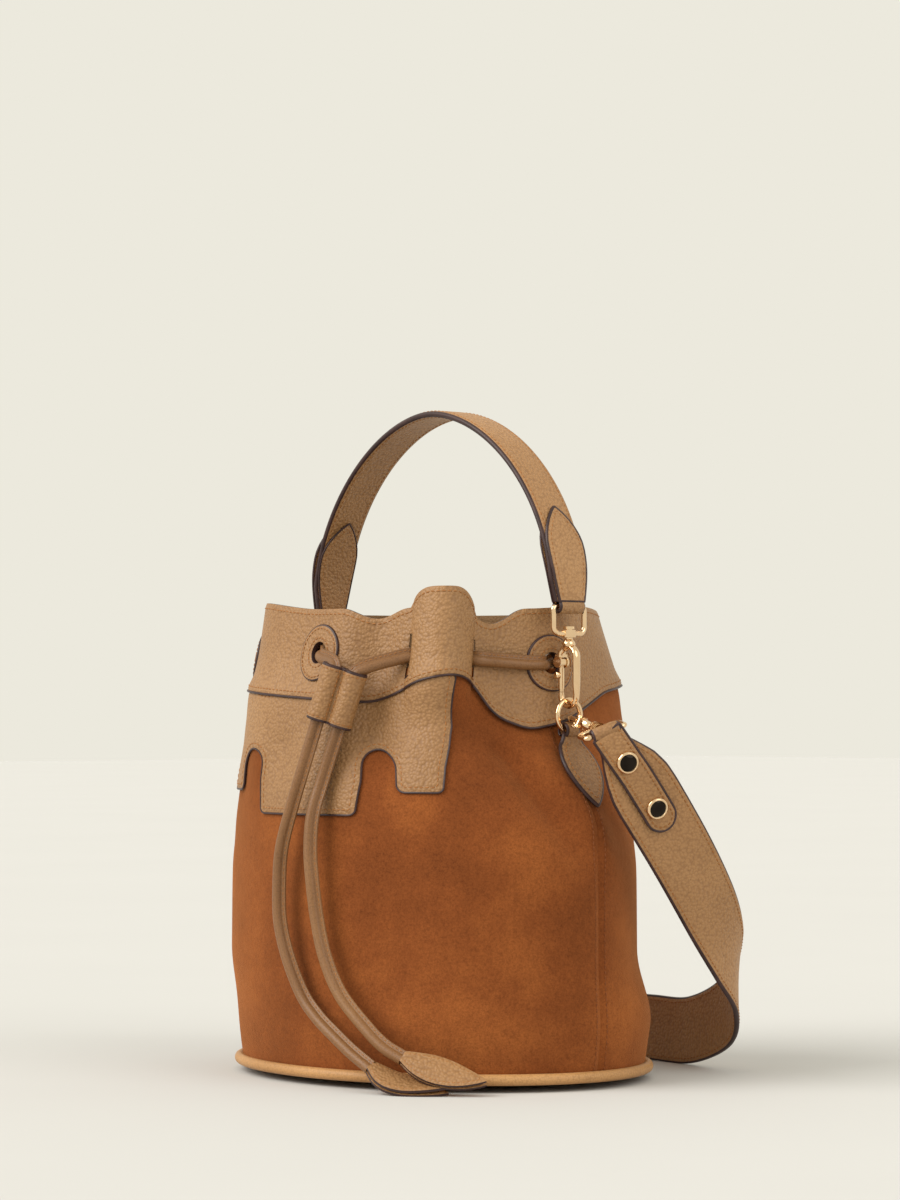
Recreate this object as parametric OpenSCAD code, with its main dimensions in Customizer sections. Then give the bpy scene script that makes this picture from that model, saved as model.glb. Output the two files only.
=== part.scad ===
// Bucket bag: drawcord bucket with a leather collar, a hooked-on top handle and a hooked-on shoulder strap.
// Millimetres, +Z up. The origin is the centre of the base on the plane the feet stand on.
// Front is -Y, the wearer's side seams are at +X and -X.

/* [Body] */
// Half width of the base, side to side
base_a = 134; // [130:1:138]
// Half depth of the base, front to back
base_b = 106; // [103:1:110]
// Height where the suede ends and the leather collar starts
join_z = 222; // [218:1:226]
// Height of the rim away from its waves
rim_z = 270; // [262:1:276]
// Thickness of the suede
suede_t = 1.8; // [1.2:0.1:2.2]
// Thickness of the doubled collar leather
collar_t = 2.4; // [1.8:0.1:3]
// Height of the five feet
foot_h = 4; // [3:0.5:5]

/* [Handle and strap] */
// Half span of the handle arch
arch_a = 104; // [102:0.5:105]
// Height of the top of the handle's centre line
handle_top = 386; // [375:1:400]
// Width of the handle
handle_w = 27; // [24:1:30]
// Thickness of the handle
handle_t = 3.2; // [2.5:0.1:4]
// Width of the shoulder strap
strap_w = 39; // [34:1:40]
// Thickness of the shoulder strap
strap_t = 3; // [2.4:0.1:3.4]

/* [Hardware] */
// Radius of the ring's wire circle
ring_r = 9; // [8.5:0.1:10]
// Thickness of the ring's wire
ring_d = 3; // [2.6:0.1:3.2]
// Thickness of the hook's wire
hook_d = 3.2; // [2.8:0.1:3.4]
// Diameter of a snap cap
snap_d = 12.5; // [11:0.5:14]

/* [Cord] */
// Diameter of the rolled leather cord
cord_d = 8; // [7:0.1:8.2]
// Bore of the leather eyelet rings
eyelet_bore = 12.5; // [11:0.5:13]
// Outer diameter of the leather eyelet rings
eyelet_od = 32; // [28:1:34]
// Length of the cord slider
slider_l = 33; // [28:1:36]
// Outer diameter of one slider barrel
barrel_d = 13.4; // [12.5:0.1:14]

/* [Hidden] */
$fn = 48;
tan_leather = [0.69, 0.53, 0.34];
suede_brown = [0.65, 0.37, 0.16];
edge_paint = [0.26, 0.19, 0.19];
pale_gold = [0.90, 0.76, 0.55];

// Places of the rings that carry the handle and the strap
ring_x = 105;
ring_y = 3;
ring_z = 209;
ring_c = [ring_x, ring_y, ring_z];
// The wall's angles run from the front (-Y) towards +X
step = 5;
floor_z = foot_h + 3;
eyelets = [[0, 245], [91, 239], [158, 243], [202, 243], [284, 243], [308, 243]];
tab_angle = 48.5;
slit_spread = 9;
cord_z = 243;
slip = 0.3;

// Half width and half depth of the wall at height z
function half_w(z) = lookup(z, [[0, base_a - 5], [12, base_a - 3], [35, base_a], [125, base_a],
                                [150, base_a - 5.5], [175, base_a - 19], [195, base_a - 33.5],
                                [208, base_a - 40.5], [230, base_a - 43.5], [285, base_a - 46.5]]);
function half_d(z) = lookup(z, [[0, base_b - 5], [12, base_b - 3], [35, base_b], [110, base_b - 1],
                                [165, base_b - 3], [222, base_b - 9], [243, base_b - 16],
                                [285, base_b - 23]]);
// A cosine bump of height 1 and half width w, for an angle d degrees from its middle
function turn(d) = d > 180 ? d - 360 : d < -180 ? d + 360 : d;
function bump(d, w) = abs(turn(d)) < w ? (1 + cos(180 * turn(d) / w)) / 2 : 0;
function rise(z, z0, z1) = z < z0 ? 0 : z > z1 ? 1 : (1 - cos(180 * (z - z0) / (z1 - z0))) / 2;
// How the gathered mouth waves in and out
function wave(t, z) = 1 + rise(z, 130, 225) * (0.16 * bump(t + 42, 40)
                      + 0.09 * bump(t - 142, 36) * (1 - rise(z, 225, 290))
                      + 0.08 * bump(t - tab_angle, 13) - 0.08 * bump(t - 25, 14) - 0.09 * bump(t - 74, 26))
                      - 0.075 * bump(t - 138, 62) * rise(z, 30, 75) * (1 - rise(z, 140, 190))
                      + 0.04 * bump(t + 42, 62) * rise(z, 30, 75) * (1 - rise(z, 135, 195));
function rim(t) = rim_z + 5 * bump(t + 42, 40) + 13 * bump(t - tab_angle, 16) - 9 * bump(t - 67, 16)
                  - 6 * bump(t - 22, 14) + 2 * bump(t - 110, 30);
// A point of the wall at angle t and height z, pushed out by off
function wall(t, z, off) = [(half_w(z) * wave(t, z) + off) * sin(t), -(half_d(z) * wave(t, z) + off) * cos(t), z];

function quad(a, b, c, d) = [[a, b, c], [a, c, d]];
function flat_list(l) = [for (a = l) for (b = a) b];

// A closed curved patch of wall: angles ts, bottom and top height functions as lists, from off_in to off_out
module patch(ts, lows, tops, rows, off_in, off_out, closed) {
    n = len(ts);
    m = rows + 1;
    outer = [for (i = [0:n - 1]) for (j = [0:rows])
             wall(ts[i], lows[i] + (tops[i] - lows[i]) * j / rows, off_out)];
    inner = [for (i = [0:n - 1]) for (j = [0:rows])
             wall(ts[i], lows[i] + (tops[i] - lows[i]) * j / rows, off_in)];
    k = n * m;
    spans = closed ? n - 1 : n - 2;
    skin = [for (i = [0:spans]) for (j = [0:rows - 1]) let (p = i * m + j, q = ((i + 1) % n) * m + j)
            each concat(quad(p, p + 1, q + 1, q), quad(k + p, k + q, k + q + 1, k + p + 1))];
    rims = [for (i = [0:spans]) let (p = i * m, q = ((i + 1) % n) * m)
            each concat(quad(p, q, k + q, k + p), quad(p + rows, k + p + rows, k + q + rows, q + rows))];
    e = (n - 1) * m;
    ends = closed ? [] : [for (j = [0:rows - 1])
            each concat(quad(j, k + j, k + j + 1, j + 1), quad(e + j, e + j + 1, k + e + j + 1, k + e + j))];
    polyhedron(concat(outer, inner), concat(skin, rims, ends), convexity = 8);
}

// Unit vector, and a frame's two cross directions along a path
function unit(v) = v / norm(v);
function tangent(p, i) = unit(p[min(i + 1, len(p) - 1)] - p[max(i - 1, 0)]);
// Catmull-Rom point between p[i] and p[i + 1]
function spline(p, i, f) = let (a = p[max(i - 1, 0)], b = p[i], c = p[i + 1], d = p[min(i + 2, len(p) - 1)])
    b + f * (c - a) / 2 + f * f * (2 * a - 5 * b + 4 * c - d) / 2 + f * f * f * (3 * b - a - 3 * c + d) / 2;
function smooth(p, n) = concat([for (i = [0:len(p) - 2]) for (j = [0:n - 1]) spline(p, i, j / n)],
                               [p[len(p) - 1]]);

// A closed sweep of rings, each a list of the same number of points
module rings(r) {
    n = len(r[0]);
    m = len(r);
    sides = [for (i = [0:m - 2]) for (j = [0:n - 1])
             each quad(i * n + j, i * n + (j + 1) % n, (i + 1) * n + (j + 1) % n, (i + 1) * n + j)];
    caps = [for (j = [1:n - 2]) each [[0, j + 1, j], [(m - 1) * n, (m - 1) * n + j, (m - 1) * n + j + 1]]];
    polyhedron(flat_list(r), concat([for (f = sides) [f[2], f[1], f[0]]], [for (f = caps) [f[2], f[1], f[0]]]),
               convexity = 8);
}

// A round tube of diameter d along the points p
module tube(p, d) {
    up = [0.31, 0.23, 0.92];
    rings([for (i = [0:len(p) - 1]) let (t = tangent(p, i), u = unit(cross(t, up)), v = cross(t, u))
           [for (a = [0:45:315]) p[i] + d / 2 * (cos(a) * u + sin(a) * v)]]);
}

// A flat ribbon along points p with outward hints n, widths w, between the heights lo and hi above its middle
module ribbon(p, n, w, lo, hi) {
    rings([for (i = [0:len(p) - 1]) let (t = tangent(p, i), s = unit(cross(n[i], t)), o = cross(t, s))
           [p[i] - s * w[i] / 2 + o * lo, p[i] + s * w[i] / 2 + o * lo,
            p[i] + s * w[i] / 2 + o * hi, p[i] - s * w[i] / 2 + o * hi]]);
}

// The slider lies on the front of the bag, turned towards +X and tilted
slider_c = [30, -106, 220];
slider_yaw = 30;
slider_tilt = 18;
slider_u = [cos(slider_yaw) * cos(slider_tilt), sin(slider_yaw) * cos(slider_tilt), -sin(slider_tilt)];
slider_down = [-sin(slider_tilt) * cos(slider_yaw), -sin(slider_tilt) * sin(slider_yaw), -cos(slider_tilt)];
barrel_left = slider_c - slider_u * barrel_d / 2;
barrel_right = slider_c + slider_u * barrel_d / 2;
exit_left = barrel_left + slider_down * slider_l / 2;
exit_right = barrel_right + slider_down * slider_l / 2;

// Routes of the two free cord ends, from below the slider to the tips
left_route = [[12, -116, 178], [4, -118, 155], [-3, -119, 133], [-5, -119, 112], [-4, -119, 92],
              [2, -118, 72], [12, -116, 52], [24, -115, 40], [37, -114, 31], [50, -112, 22], [64, -110, 14]];
right_route = [[23, -110, 174], [20, -115, 154], [20, -117, 134], [22, -117, 115], [25, -116, 94],
               [31, -115, 73], [42, -113, 53], [60, -109, 35], [71, -106, 26], [82, -102, 20]];
tip_left_route = [[64, -110, 14], [74.5, -107.5, 8], [86, -103, 5], [97, -97, 3.8], [107, -91, 3]];
tip_right_route = [[82, -102, 20], [92, -97.5, 16], [102, -91.5, 12.5], [112, -84.5, 9.5], [121, -77.5, 7.5]];
tip_widths = [8, 15, 18, 13, 2];
// Held run of the cord, as angle, push out from the wall and height, threaded through slits and eyelets
run_stops = [[34.5, 7, 242], [38.5, 3, 243], [42.5, -5, 244], [48.5, -5.5, 244], [54.5, -5, 244],
             [58.5, 1, 242], [62.5, 7, 241], [71, 7, 240], [81, 7, 239], [87, 6, 239], [91, 0, 239],
             [95, -5.5, 240], [104, -5.5, 243], [116, -5.5, 243], [128, -5.5, 243], [140, -5.5, 243],
             [150, -5.5, 243], [154, -5, 243], [158, 1, 243], [163, 7, 243], [172, 7, 243], [180, 7, 243],
             [188, 7, 243], [197, 7, 243], [202, 1, 243], [206, -5, 243], [216, -5.5, 243], [228, -5.5, 243],
             [240, -5.5, 243], [252, -5.5, 243], [264, -5.5, 243], [275, -5.5, 243], [280, -5, 243],
             [284, 1, 243], [289, 7, 243], [296, 7, 243], [303, 7, 243], [308, 1, 243], [313, -5, 243],
             [321, -5.5, 243], [333, -5.5, 243], [345, -5.5, 243], [354, -4, 244], [360, 2, 245],
             [364, 8, 243]];

// Hook frame: local origin at the ring's centre, local Z towards the loop it hangs on
shank = 62;
hook_half = 6.2;
bow_z = ring_r - ring_d / 2 - hook_d / 2 - 0.4 + hook_half;
top_z = 33;
gate_z = 30.5;
gate_d = 2.8;
pin_d = 1.4;
knuckle_d = 4.8;
loop_half = 12;
loop_d = 3;
// The strap's hook sits on the back of the ring and points outwards
strap_dir = unit([0.880, -0.465, -0.1]);
strap_contact = ring_c + ring_r * [0, cos(-25), sin(-25)];
strap_origin = strap_contact - ring_r * strap_dir;
strap_wire = [0, -sin(-25), cos(-25)];
strap_side = unit(strap_wire - (strap_wire * strap_dir) * strap_dir);
bar_hint = [0.4, 0.85, 0.34];
strap_bar_dir = unit(bar_hint - (bar_hint * strap_dir) * strap_dir);

// Half of the shoulder strap's route, from the right loop to the middle behind the bag
strap_route = [[151.5, -12, 198], [154.5, -2.5, 185], [156, 10, 170], [155, 43, 131], [148, 75, 96],
               [138, 100, 70], [124, 119, 51], [102, 132, 33], [66, 141, 21], [30, 146, 20], [0, 147, 20]];
strap_faces = [[0.74, -0.67, 0.2], [0.76, -0.65, 0.15], [0.8, -0.6, 0.1], [0.86, -0.5, 0.1],
               [0.93, -0.35, 0.15], [0.98, 0, 0.2], [0.85, 0.5, 0.2], [0.5, 0.86, 0.1], [0.2, 0.98, 0],
               [0.05, 1, 0], [0, 1, 0]];
half_path = smooth(strap_route, 3);
half_faces = smooth(strap_faces, 3);
strap_path = concat(half_path, [for (i = [len(half_path) - 2:-1:0]) [-half_path[i][0], half_path[i][1],
             half_path[i][2]]]);
strap_out = concat(half_faces, [for (i = [len(half_faces) - 2:-1:0]) [-half_faces[i][0], half_faces[i][1],
            half_faces[i][2]]]);
strap_n = len(strap_path);
function strap_width(i) = lookup(min(i, strap_n - 1 - i), [[0, 17], [2, 19], [4, 32], [6, strap_w]]);

// Handle arch, as a rounded arch above the legs
handle_spring = 279;
arch_b = handle_top - handle_spring;
function arch(q) = [arch_a * pow(cos(q), 1.11), ring_y, handle_spring + arch_b * pow(sin(q), 1.11)];
right_leg = concat([[ring_x, ring_y, ring_z + shank + 4]], [for (q = [0:6:90]) arch(q)]);
handle_path = concat(right_leg, [for (i = [len(right_leg) - 2:-1:0]) [-right_leg[i][0], right_leg[i][1],
              right_leg[i][2]]]);
handle_n = len(handle_path);
handle_out = [for (i = [0:handle_n - 1]) let (t = tangent(handle_path, i)) unit([t[2], 0, -t[0]])];

module base_outline(off) {
    polygon([for (t = [0:step:355]) [(half_w(foot_h) + off) * sin(t), -(half_d(foot_h) + off) * cos(t)]]);
}
module side(s) {
    if (s > 0) children();
    else mirror([1, 0, 0]) children();
}
// Puts children on the wall at angle t with local Z pointing out
module on_wall(t, z, off) {
    d = wall(t + 2, z, off) - wall(t - 2, z, off);
    translate(wall(t, z, off)) rotate([0, 0, atan2(-d[0], d[1])]) rotate([0, 90, 0]) children();
}
function spread(a, b) = [for (t = [a:step:b]) t];
module suede(a, b) {
    ts = spread(a, b);
    color(suede_brown) patch(ts, [for (t = ts) floor_z], [for (t = ts) join_z], 7, 0, suede_t, false);
}
module suede_front_panel() { suede(-90, 90); }
module suede_back_panel() { suede(90, 270); }
module lining() {
    ts = spread(0, 355);
    color("tan") {
        patch(ts, [for (t = ts) floor_z], [for (t = ts) join_z], 7, -1.7, -0.6, true);
        translate([0, 0, floor_z + 2]) linear_extrude(1) base_outline(-1);
    }
}
module base_panel() {
    color(tan_leather) translate([0, 0, foot_h]) linear_extrude(floor_z - foot_h) base_outline(suede_t - 0.4);
}
module base_board() {
    color("dimgray") translate([0, 0, floor_z]) linear_extrude(1.9) base_outline(-2.4);
}
module base_piping() {
    ts = spread(0, 355);
    color(tan_leather) patch(ts, [for (t = ts) foot_h], [for (t = ts) foot_h + 6.5], 1, suede_t + 0.1, suede_t + 3.8, true);
}
module base_feet() {
    color(tan_leather) for (x = [-60, 60], y = [-62, 62])
        translate([x, y, 0]) cylinder(d1 = 9, d2 = 13, h = foot_h);
    color(tan_leather) cylinder(d1 = 9, d2 = 13, h = foot_h);
}
module collar() {
    ts = spread(0, 355);
    color(tan_leather) difference() {
        patch(ts, [for (t = ts) join_z], [for (t = ts) rim(t)], 4, 0, collar_t, true);
        for (e = eyelets) on_wall(e[0], e[1], 0) cylinder(d = eyelet_bore, h = 24, center = true);
        for (t = [tab_angle - slit_spread, tab_angle + slit_spread]) on_wall(t, cord_z, 0)
            cylinder(d = cord_d + 4, h = 24, center = true);
    }
}
module front_yoke() {
    ts = spread(-50, 50);
    color(tan_leather) patch(ts, [for (t = ts) abs(abs(t) - 24) < 8 ? 186 : 162], [for (t = ts) join_z],
                             4, suede_t, suede_t + 1.5, false);
}
module eyelet_rings() {
    color(tan_leather) for (e = eyelets) on_wall(e[0], e[1], collar_t + 0.1)
        rotate_extrude() translate([eyelet_bore / 2, 0]) square([(eyelet_od - eyelet_bore) / 2, 1.2]);
}
module chape(s) {
    zs = [196, 190, 184, 178, 172, 166, 161];
    color(tan_leather) side(s) {
        translate([ring_x, ring_y, ring_z - ring_r + 0.6]) rotate([90, 0, 0]) difference() {
            cylinder(d = 9.6, h = 9, center = true);
            cylinder(d = 6.4, h = 10, center = true);
        }
        ribbon([for (z = zs) wall(92, z, suede_t + 0.4)], [for (z = zs) [0.85, 0, 0.5]],
               [9, 11, 19, 24, 24, 16, 3], 0.2, 2.5);
    }
}
module chape_right() { chape(1); }
module chape_left() { chape(-1); }
module drawcord() {
    middle = [for (p = run_stops) wall(p[0], p[2], p[1])];
    above = -slider_down * (slider_l / 2 + 1);
    clear = -slider_down * (slider_l / 2 + 7);
    color(tan_leather) tube(concat([exit_right, barrel_right, barrel_right + above, barrel_right + clear],
        middle, [barrel_left + clear, barrel_left + above, barrel_left, exit_left]), cord_d);
}
module drawcord_end_left() { color(tan_leather) tube(concat([exit_left], left_route), cord_d); }
module drawcord_end_right() { color(tan_leather) tube(concat([exit_right], right_route), cord_d); }
module cord_tip_left() {
    color(tan_leather) ribbon(tip_left_route, [for (p = tip_left_route) [0, -0.3, 0.95]], tip_widths, -2, 2);
}
module cord_tip_right() {
    color(tan_leather) ribbon(tip_right_route, [for (p = tip_right_route) [0.3, -0.6, 0.7]], tip_widths, -2, 2);
}
module cord_slider() {
    color(tan_leather) translate(slider_c) rotate([0, 0, slider_yaw]) rotate([0, slider_tilt, 0]) difference() {
        for (x = [-1, 1]) translate([x * barrel_d / 2, 0, 0])
            cylinder(d = barrel_d + 0.4, h = slider_l, center = true);
        for (x = [-1, 1]) translate([x * barrel_d / 2, 0, 0])
            cylinder(d = cord_d + 2 * slip, h = slider_l + 2, center = true);
    }
}
module ring(s) {
    color(pale_gold) side(s) translate(ring_c) rotate([0, 90, 0])
        rotate_extrude() translate([ring_r, 0]) circle(d = ring_d, $fn = 24);
}
module ring_right() { ring(1); }
module ring_left() { ring(-1); }

// Moves children from a local frame to origin o with local Z along z and local Y along y
module frame_at(o, y, z) {
    x = cross(y, z);
    multmatrix([[x[0], y[0], z[0], o[0]], [x[1], y[1], z[1], o[1]], [x[2], y[2], z[2], o[2]]]) children();
}
module handle_frame() { frame_at(ring_c, [0, 1, 0], [0, 0, 1]) children(); }
module strap_frame() { frame_at(strap_origin, strap_side, strap_dir) children(); }
module strap_loop_frame() { frame_at(strap_origin, strap_bar_dir, strap_dir) children(); }
module bend(z, flip) {
    translate([0, 0, z]) rotate([90, 0, 0]) rotate([0, 0, flip]) rotate_extrude(angle = 180)
        translate([hook_half, 0]) circle(d = hook_d, $fn = 24);
}
module hook_shape() {
    color(pale_gold) {
        bend(bow_z, 180);
        translate([-hook_half, 0, bow_z]) cylinder(d = hook_d, h = 1.6);
        translate([hook_half, 0, bow_z]) cylinder(d = hook_d, h = top_z - bow_z);
        bend(top_z, 0);
        for (y = [-1, 1]) translate([-hook_half, y * 2.75, gate_z]) rotate([90, 0, 0])
            cylinder(d = knuckle_d + 1.6, h = 1.1, center = true);
        translate([-hook_half - hook_d / 2, -3.3, gate_z + knuckle_d / 2 + 0.3]) cube([hook_d, 6.6, 1.6]);
        translate([-hook_half, 0, gate_z]) rotate([90, 0, 0]) cylinder(d = pin_d, h = 6.6, center = true);
        translate([0, 0, top_z + hook_half]) cylinder(d1 = 5, d2 = 4, h = 10);
        translate([0, 0, top_z + hook_half + 9.8]) cylinder(d = 6.4, h = 1.6);
    }
}
module gate_shape() {
    color(pale_gold) translate([-hook_half, 0, 0]) difference() {
        union() {
            translate([0, 0, gate_z]) rotate([90, 0, 0]) cylinder(d = knuckle_d, h = 4, center = true);
            translate([0, 0, bow_z + 1.9]) cylinder(d = gate_d, h = gate_z - bow_z - 3.4);
        }
        translate([0, 0, gate_z]) rotate([90, 0, 0]) cylinder(d = pin_d + 0.4, h = 8, center = true);
    }
}
// A quarter bend of loop wire in the YZ plane about [0, y, z], of radius r, starting at angle a
module corner(y, z, r, a) {
    translate([0, y, z]) rotate([90, 0, 90]) rotate([0, 0, a]) rotate_extrude(angle = 90)
        translate([r, 0]) circle(d = loop_d, $fn = 24);
}
module bar_y(y0, y1, z) {
    translate([0, y0, z]) rotate([-90, 0, 0]) cylinder(d = loop_d, h = y1 - y0, $fn = 24);
}
module loop_shape() {
    neck = top_z + hook_half + 5.2;
    low = neck + 2.1;
    low_r = 4;
    high_r = 2.2;
    color(pale_gold) {
        translate([0, 0, neck]) difference() {
            cylinder(d = 8, h = 4.2);
            translate([0, 0, -1]) cylinder(d = 5.2, h = 7);
        }
        bar_y(3.1, loop_half - low_r, low);
        bar_y(low_r - loop_half, -3.1, low);
        corner(loop_half - low_r, low + low_r, low_r, 270);
        corner(low_r - loop_half, low + low_r, low_r, 180);
        for (y = [-1, 1]) translate([0, y * loop_half, low + low_r])
            cylinder(d = loop_d, h = shank - high_r - low - low_r, $fn = 24);
        corner(loop_half - high_r, shank - high_r, high_r, 0);
        corner(high_r - loop_half, shank - high_r, high_r, 90);
        bar_y(high_r - loop_half, loop_half - high_r, shank);
    }
}
// Leather fold around a loop's bar
module fold(w) {
    translate([0, 0, shank]) rotate([90, 0, 0]) difference() {
        cylinder(d = 8, h = w, center = true);
        cylinder(d = loop_d + 0.6, h = w + 2, center = true);
    }
}
module handle_strap() {
    widths = [for (i = [0:handle_n - 1]) lookup(min(i, handle_n - 1 - i), [[0, 20], [2, handle_w]])];
    color(tan_leather) ribbon(handle_path, handle_out, widths, -handle_t / 2, handle_t / 2);
}
module handle_leaf(s) {
    part = [for (i = [0:6]) handle_path[i]];
    out = [for (i = [0:6]) handle_out[i]];
    widths = [20, 24, 26, 26, 22, 13, 2];
    color(tan_leather) side(s) {
        handle_frame() fold(20);
        ribbon(part, out, widths, handle_t / 2, handle_t / 2 + 1.6);
        ribbon(part, out, widths, -handle_t / 2 - 1.2, -handle_t / 2);
    }
}
module handle_leaf_right() { handle_leaf(1); }
module handle_leaf_left() { handle_leaf(-1); }
module handle_loop_right() { handle_frame() loop_shape(); }
module handle_loop_left() { side(-1) handle_frame() loop_shape(); }
module handle_hook_right() { handle_frame() hook_shape(); }
module handle_hook_left() { side(-1) handle_frame() hook_shape(); }
module handle_gate_right() { handle_frame() gate_shape(); }
module handle_gate_left() { side(-1) handle_frame() gate_shape(); }
module shoulder_strap() {
    widths = [for (i = [0:strap_n - 1]) strap_width(i)];
    color(tan_leather) ribbon(strap_path, strap_out, widths, -strap_t / 2, strap_t / 2);
}
tongue_n = 10;
tongue_path = [for (i = [0:tongue_n]) half_path[i]];
tongue_out = [for (i = [0:tongue_n]) half_faces[i]];
function tongue_face(i) = let (t = tangent(strap_path, i), s = unit(cross(strap_out[i], t))) cross(t, s);
module strap_tongue(s) {
    color(tan_leather) side(s) {
        strap_loop_frame() fold(17);
        ribbon(tongue_path, tongue_out, [for (i = [0:tongue_n]) i == tongue_n ? 9 : 17],
               strap_t / 2, strap_t / 2 + 2.4);
    }
}
module strap_tongue_right() { strap_tongue(1); }
module strap_tongue_left() { strap_tongue(-1); }
module strap_snaps() {
    color(pale_gold) for (s = [-1, 1], i = [3, 8]) side(s)
        translate(half_path[i] + tongue_face(i) * (strap_t / 2 + 2.4)) let (f = tongue_face(i))
        rotate([0, acos(f[2]), atan2(f[1], f[0])]) cylinder(d1 = snap_d, d2 = snap_d - 3, h = 2.4);
}
module strap_loop_right() { strap_loop_frame() loop_shape(); }
module strap_loop_left() { side(-1) strap_loop_frame() loop_shape(); }
module strap_hook_right() { strap_frame() hook_shape(); }
module strap_hook_left() { side(-1) strap_frame() hook_shape(); }
module strap_gate_right() { strap_frame() gate_shape(); }
module strap_gate_left() { side(-1) strap_frame() gate_shape(); }

suede_front_panel();
suede_back_panel();
lining();
base_panel();
base_board();
base_piping();
base_feet();
collar();
front_yoke();
eyelet_rings();
chape_right();
chape_left();
drawcord();
drawcord_end_left();
drawcord_end_right();
cord_tip_left();
cord_tip_right();
cord_slider();
ring_right();
ring_left();
handle_strap();
handle_leaf_right();
handle_leaf_left();
handle_loop_right();
handle_loop_left();
handle_hook_right();
handle_hook_left();
handle_gate_right();
handle_gate_left();
shoulder_strap();
strap_tongue_right();
strap_tongue_left();
strap_snaps();
strap_loop_right();
strap_loop_left();
strap_hook_right();
strap_hook_left();
strap_gate_right();
strap_gate_left();
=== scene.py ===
import math

import bmesh
import bpy
import numpy as np
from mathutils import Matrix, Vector


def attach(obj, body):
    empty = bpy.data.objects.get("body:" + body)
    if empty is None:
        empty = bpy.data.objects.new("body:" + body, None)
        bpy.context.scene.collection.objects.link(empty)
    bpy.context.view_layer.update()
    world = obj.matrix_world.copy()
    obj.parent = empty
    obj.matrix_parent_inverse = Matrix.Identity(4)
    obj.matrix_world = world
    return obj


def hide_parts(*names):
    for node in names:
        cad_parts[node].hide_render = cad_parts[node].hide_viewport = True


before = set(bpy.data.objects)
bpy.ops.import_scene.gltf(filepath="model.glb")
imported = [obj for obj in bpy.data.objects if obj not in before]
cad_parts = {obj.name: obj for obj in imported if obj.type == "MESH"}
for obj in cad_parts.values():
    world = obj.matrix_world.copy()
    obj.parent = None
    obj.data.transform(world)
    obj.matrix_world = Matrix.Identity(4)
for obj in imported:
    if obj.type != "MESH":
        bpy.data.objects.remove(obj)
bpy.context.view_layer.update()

MM = 0.001

# ---------------------------------------------------------------- camera and cords first
# The camera looks at the bag from its front right corner, from a little below the rim
CAM_AZ = math.radians(48)
CAM_DIST = 2.2
CAM_Z = 0.21
LOOK_Z = 0.277
FRAME_H = 0.706
TOWARD = np.array([math.sin(CAM_AZ), -math.cos(CAM_AZ), 0])
RIGHT = np.array([math.cos(CAM_AZ), math.sin(CAM_AZ), 0])


def make_camera():
    data = bpy.data.cameras.new("camera")
    data.lens = data.sensor_width * CAM_DIST / FRAME_H
    cam = bpy.data.objects.new("camera", data)
    bpy.context.scene.collection.objects.link(cam)
    side = 0.005
    cam.location = Vector(TOWARD * CAM_DIST + RIGHT * side) + Vector((0, 0, CAM_Z))
    target = Vector(RIGHT * side) + Vector((0, 0, LOOK_Z))
    cam.rotation_euler = (target - cam.location).to_track_quat("-Z", "Y").to_euler()
    bpy.context.scene.camera = cam


# The free cord ends' routes, as part.scad has them, in millimetres
EXIT_LEFT = (19.99, -111.75, 206.4)
EXIT_RIGHT = (31.1, -105.3, 202.2)
LEFT_ROUTE = [(12, -116, 178), (4, -118, 155), (-3, -119, 133), (-5, -119, 112), (-4, -119, 92),
              (2, -118, 72), (12, -116, 52), (24, -115, 40), (37, -114, 31), (50, -112, 22), (64, -110, 14)]
RIGHT_ROUTE = [(23, -110, 174), (20, -115, 154), (20, -117, 134), (22, -117, 115), (25, -116, 94),
               (31, -115, 73), (42, -113, 53), (60, -109, 35), (71, -106, 26), (82, -102, 20)]
TIP_LEFT_ROUTE = [(64, -110, 14), (74.5, -107.5, 8), (86, -103, 5), (97, -97, 3.8), (107, -91, 3)]
TIP_RIGHT_ROUTE = [(82, -102, 20), (92, -97.5, 16), (102, -91.5, 12.5), (112, -84.5, 9.5), (121, -77.5, 7.5)]
# Held run, as angle, push out from the wall and height
RUN_STOPS = [(34.5, 7, 242), (38.5, 3, 243), (42.5, -5, 244), (48.5, -5.5, 244), (54.5, -5, 244),
             (58.5, 1, 242), (62.5, 7, 241), (71, 7, 240), (81, 7, 239), (87, 6, 239), (91, 0, 239),
             (95, -5.5, 240), (104, -5.5, 243), (116, -5.5, 243), (128, -5.5, 243), (140, -5.5, 243),
             (150, -5.5, 243), (154, -5, 243), (158, 1, 243), (163, 7, 243), (172, 7, 243), (180, 7, 243),
             (188, 7, 243), (197, 7, 243), (202, 1, 243), (206, -5, 243), (216, -5.5, 243), (228, -5.5, 243),
             (240, -5.5, 243), (252, -5.5, 243), (264, -5.5, 243), (275, -5.5, 243), (280, -5, 243),
             (284, 1, 243), (289, 7, 243), (296, 7, 243), (303, 7, 243), (308, 1, 243), (313, -5, 243),
             (321, -5.5, 243), (333, -5.5, 243), (345, -5.5, 243), (354, -4, 244), (360, 2, 245),
             (364, 8, 243)]

# ---------------------------------------------------------------- the bag's wall, as part.scad has it
MM_PER_DEG = 1.75
BASE_A, BASE_B = 134, 106
JOIN_Z, RIM_Z, FLOOR_Z = 222, 270, 7
EYELETS = [(0, 245), (91, 239), (158, 243), (202, 243), (284, 243), (308, 243)]
W_TABLE = [(0, BASE_A - 5), (12, BASE_A - 3), (35, BASE_A), (125, BASE_A), (150, BASE_A - 5.5),
           (175, BASE_A - 19), (195, BASE_A - 33.5), (208, BASE_A - 40.5), (230, BASE_A - 43.5),
           (285, BASE_A - 46.5)]
D_TABLE = [(0, BASE_B - 5), (12, BASE_B - 3), (35, BASE_B), (110, BASE_B - 1), (165, BASE_B - 3),
           (222, BASE_B - 9), (243, BASE_B - 16), (285, BASE_B - 23)]
FINE_Z = np.linspace(0, 300, 301)


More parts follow.
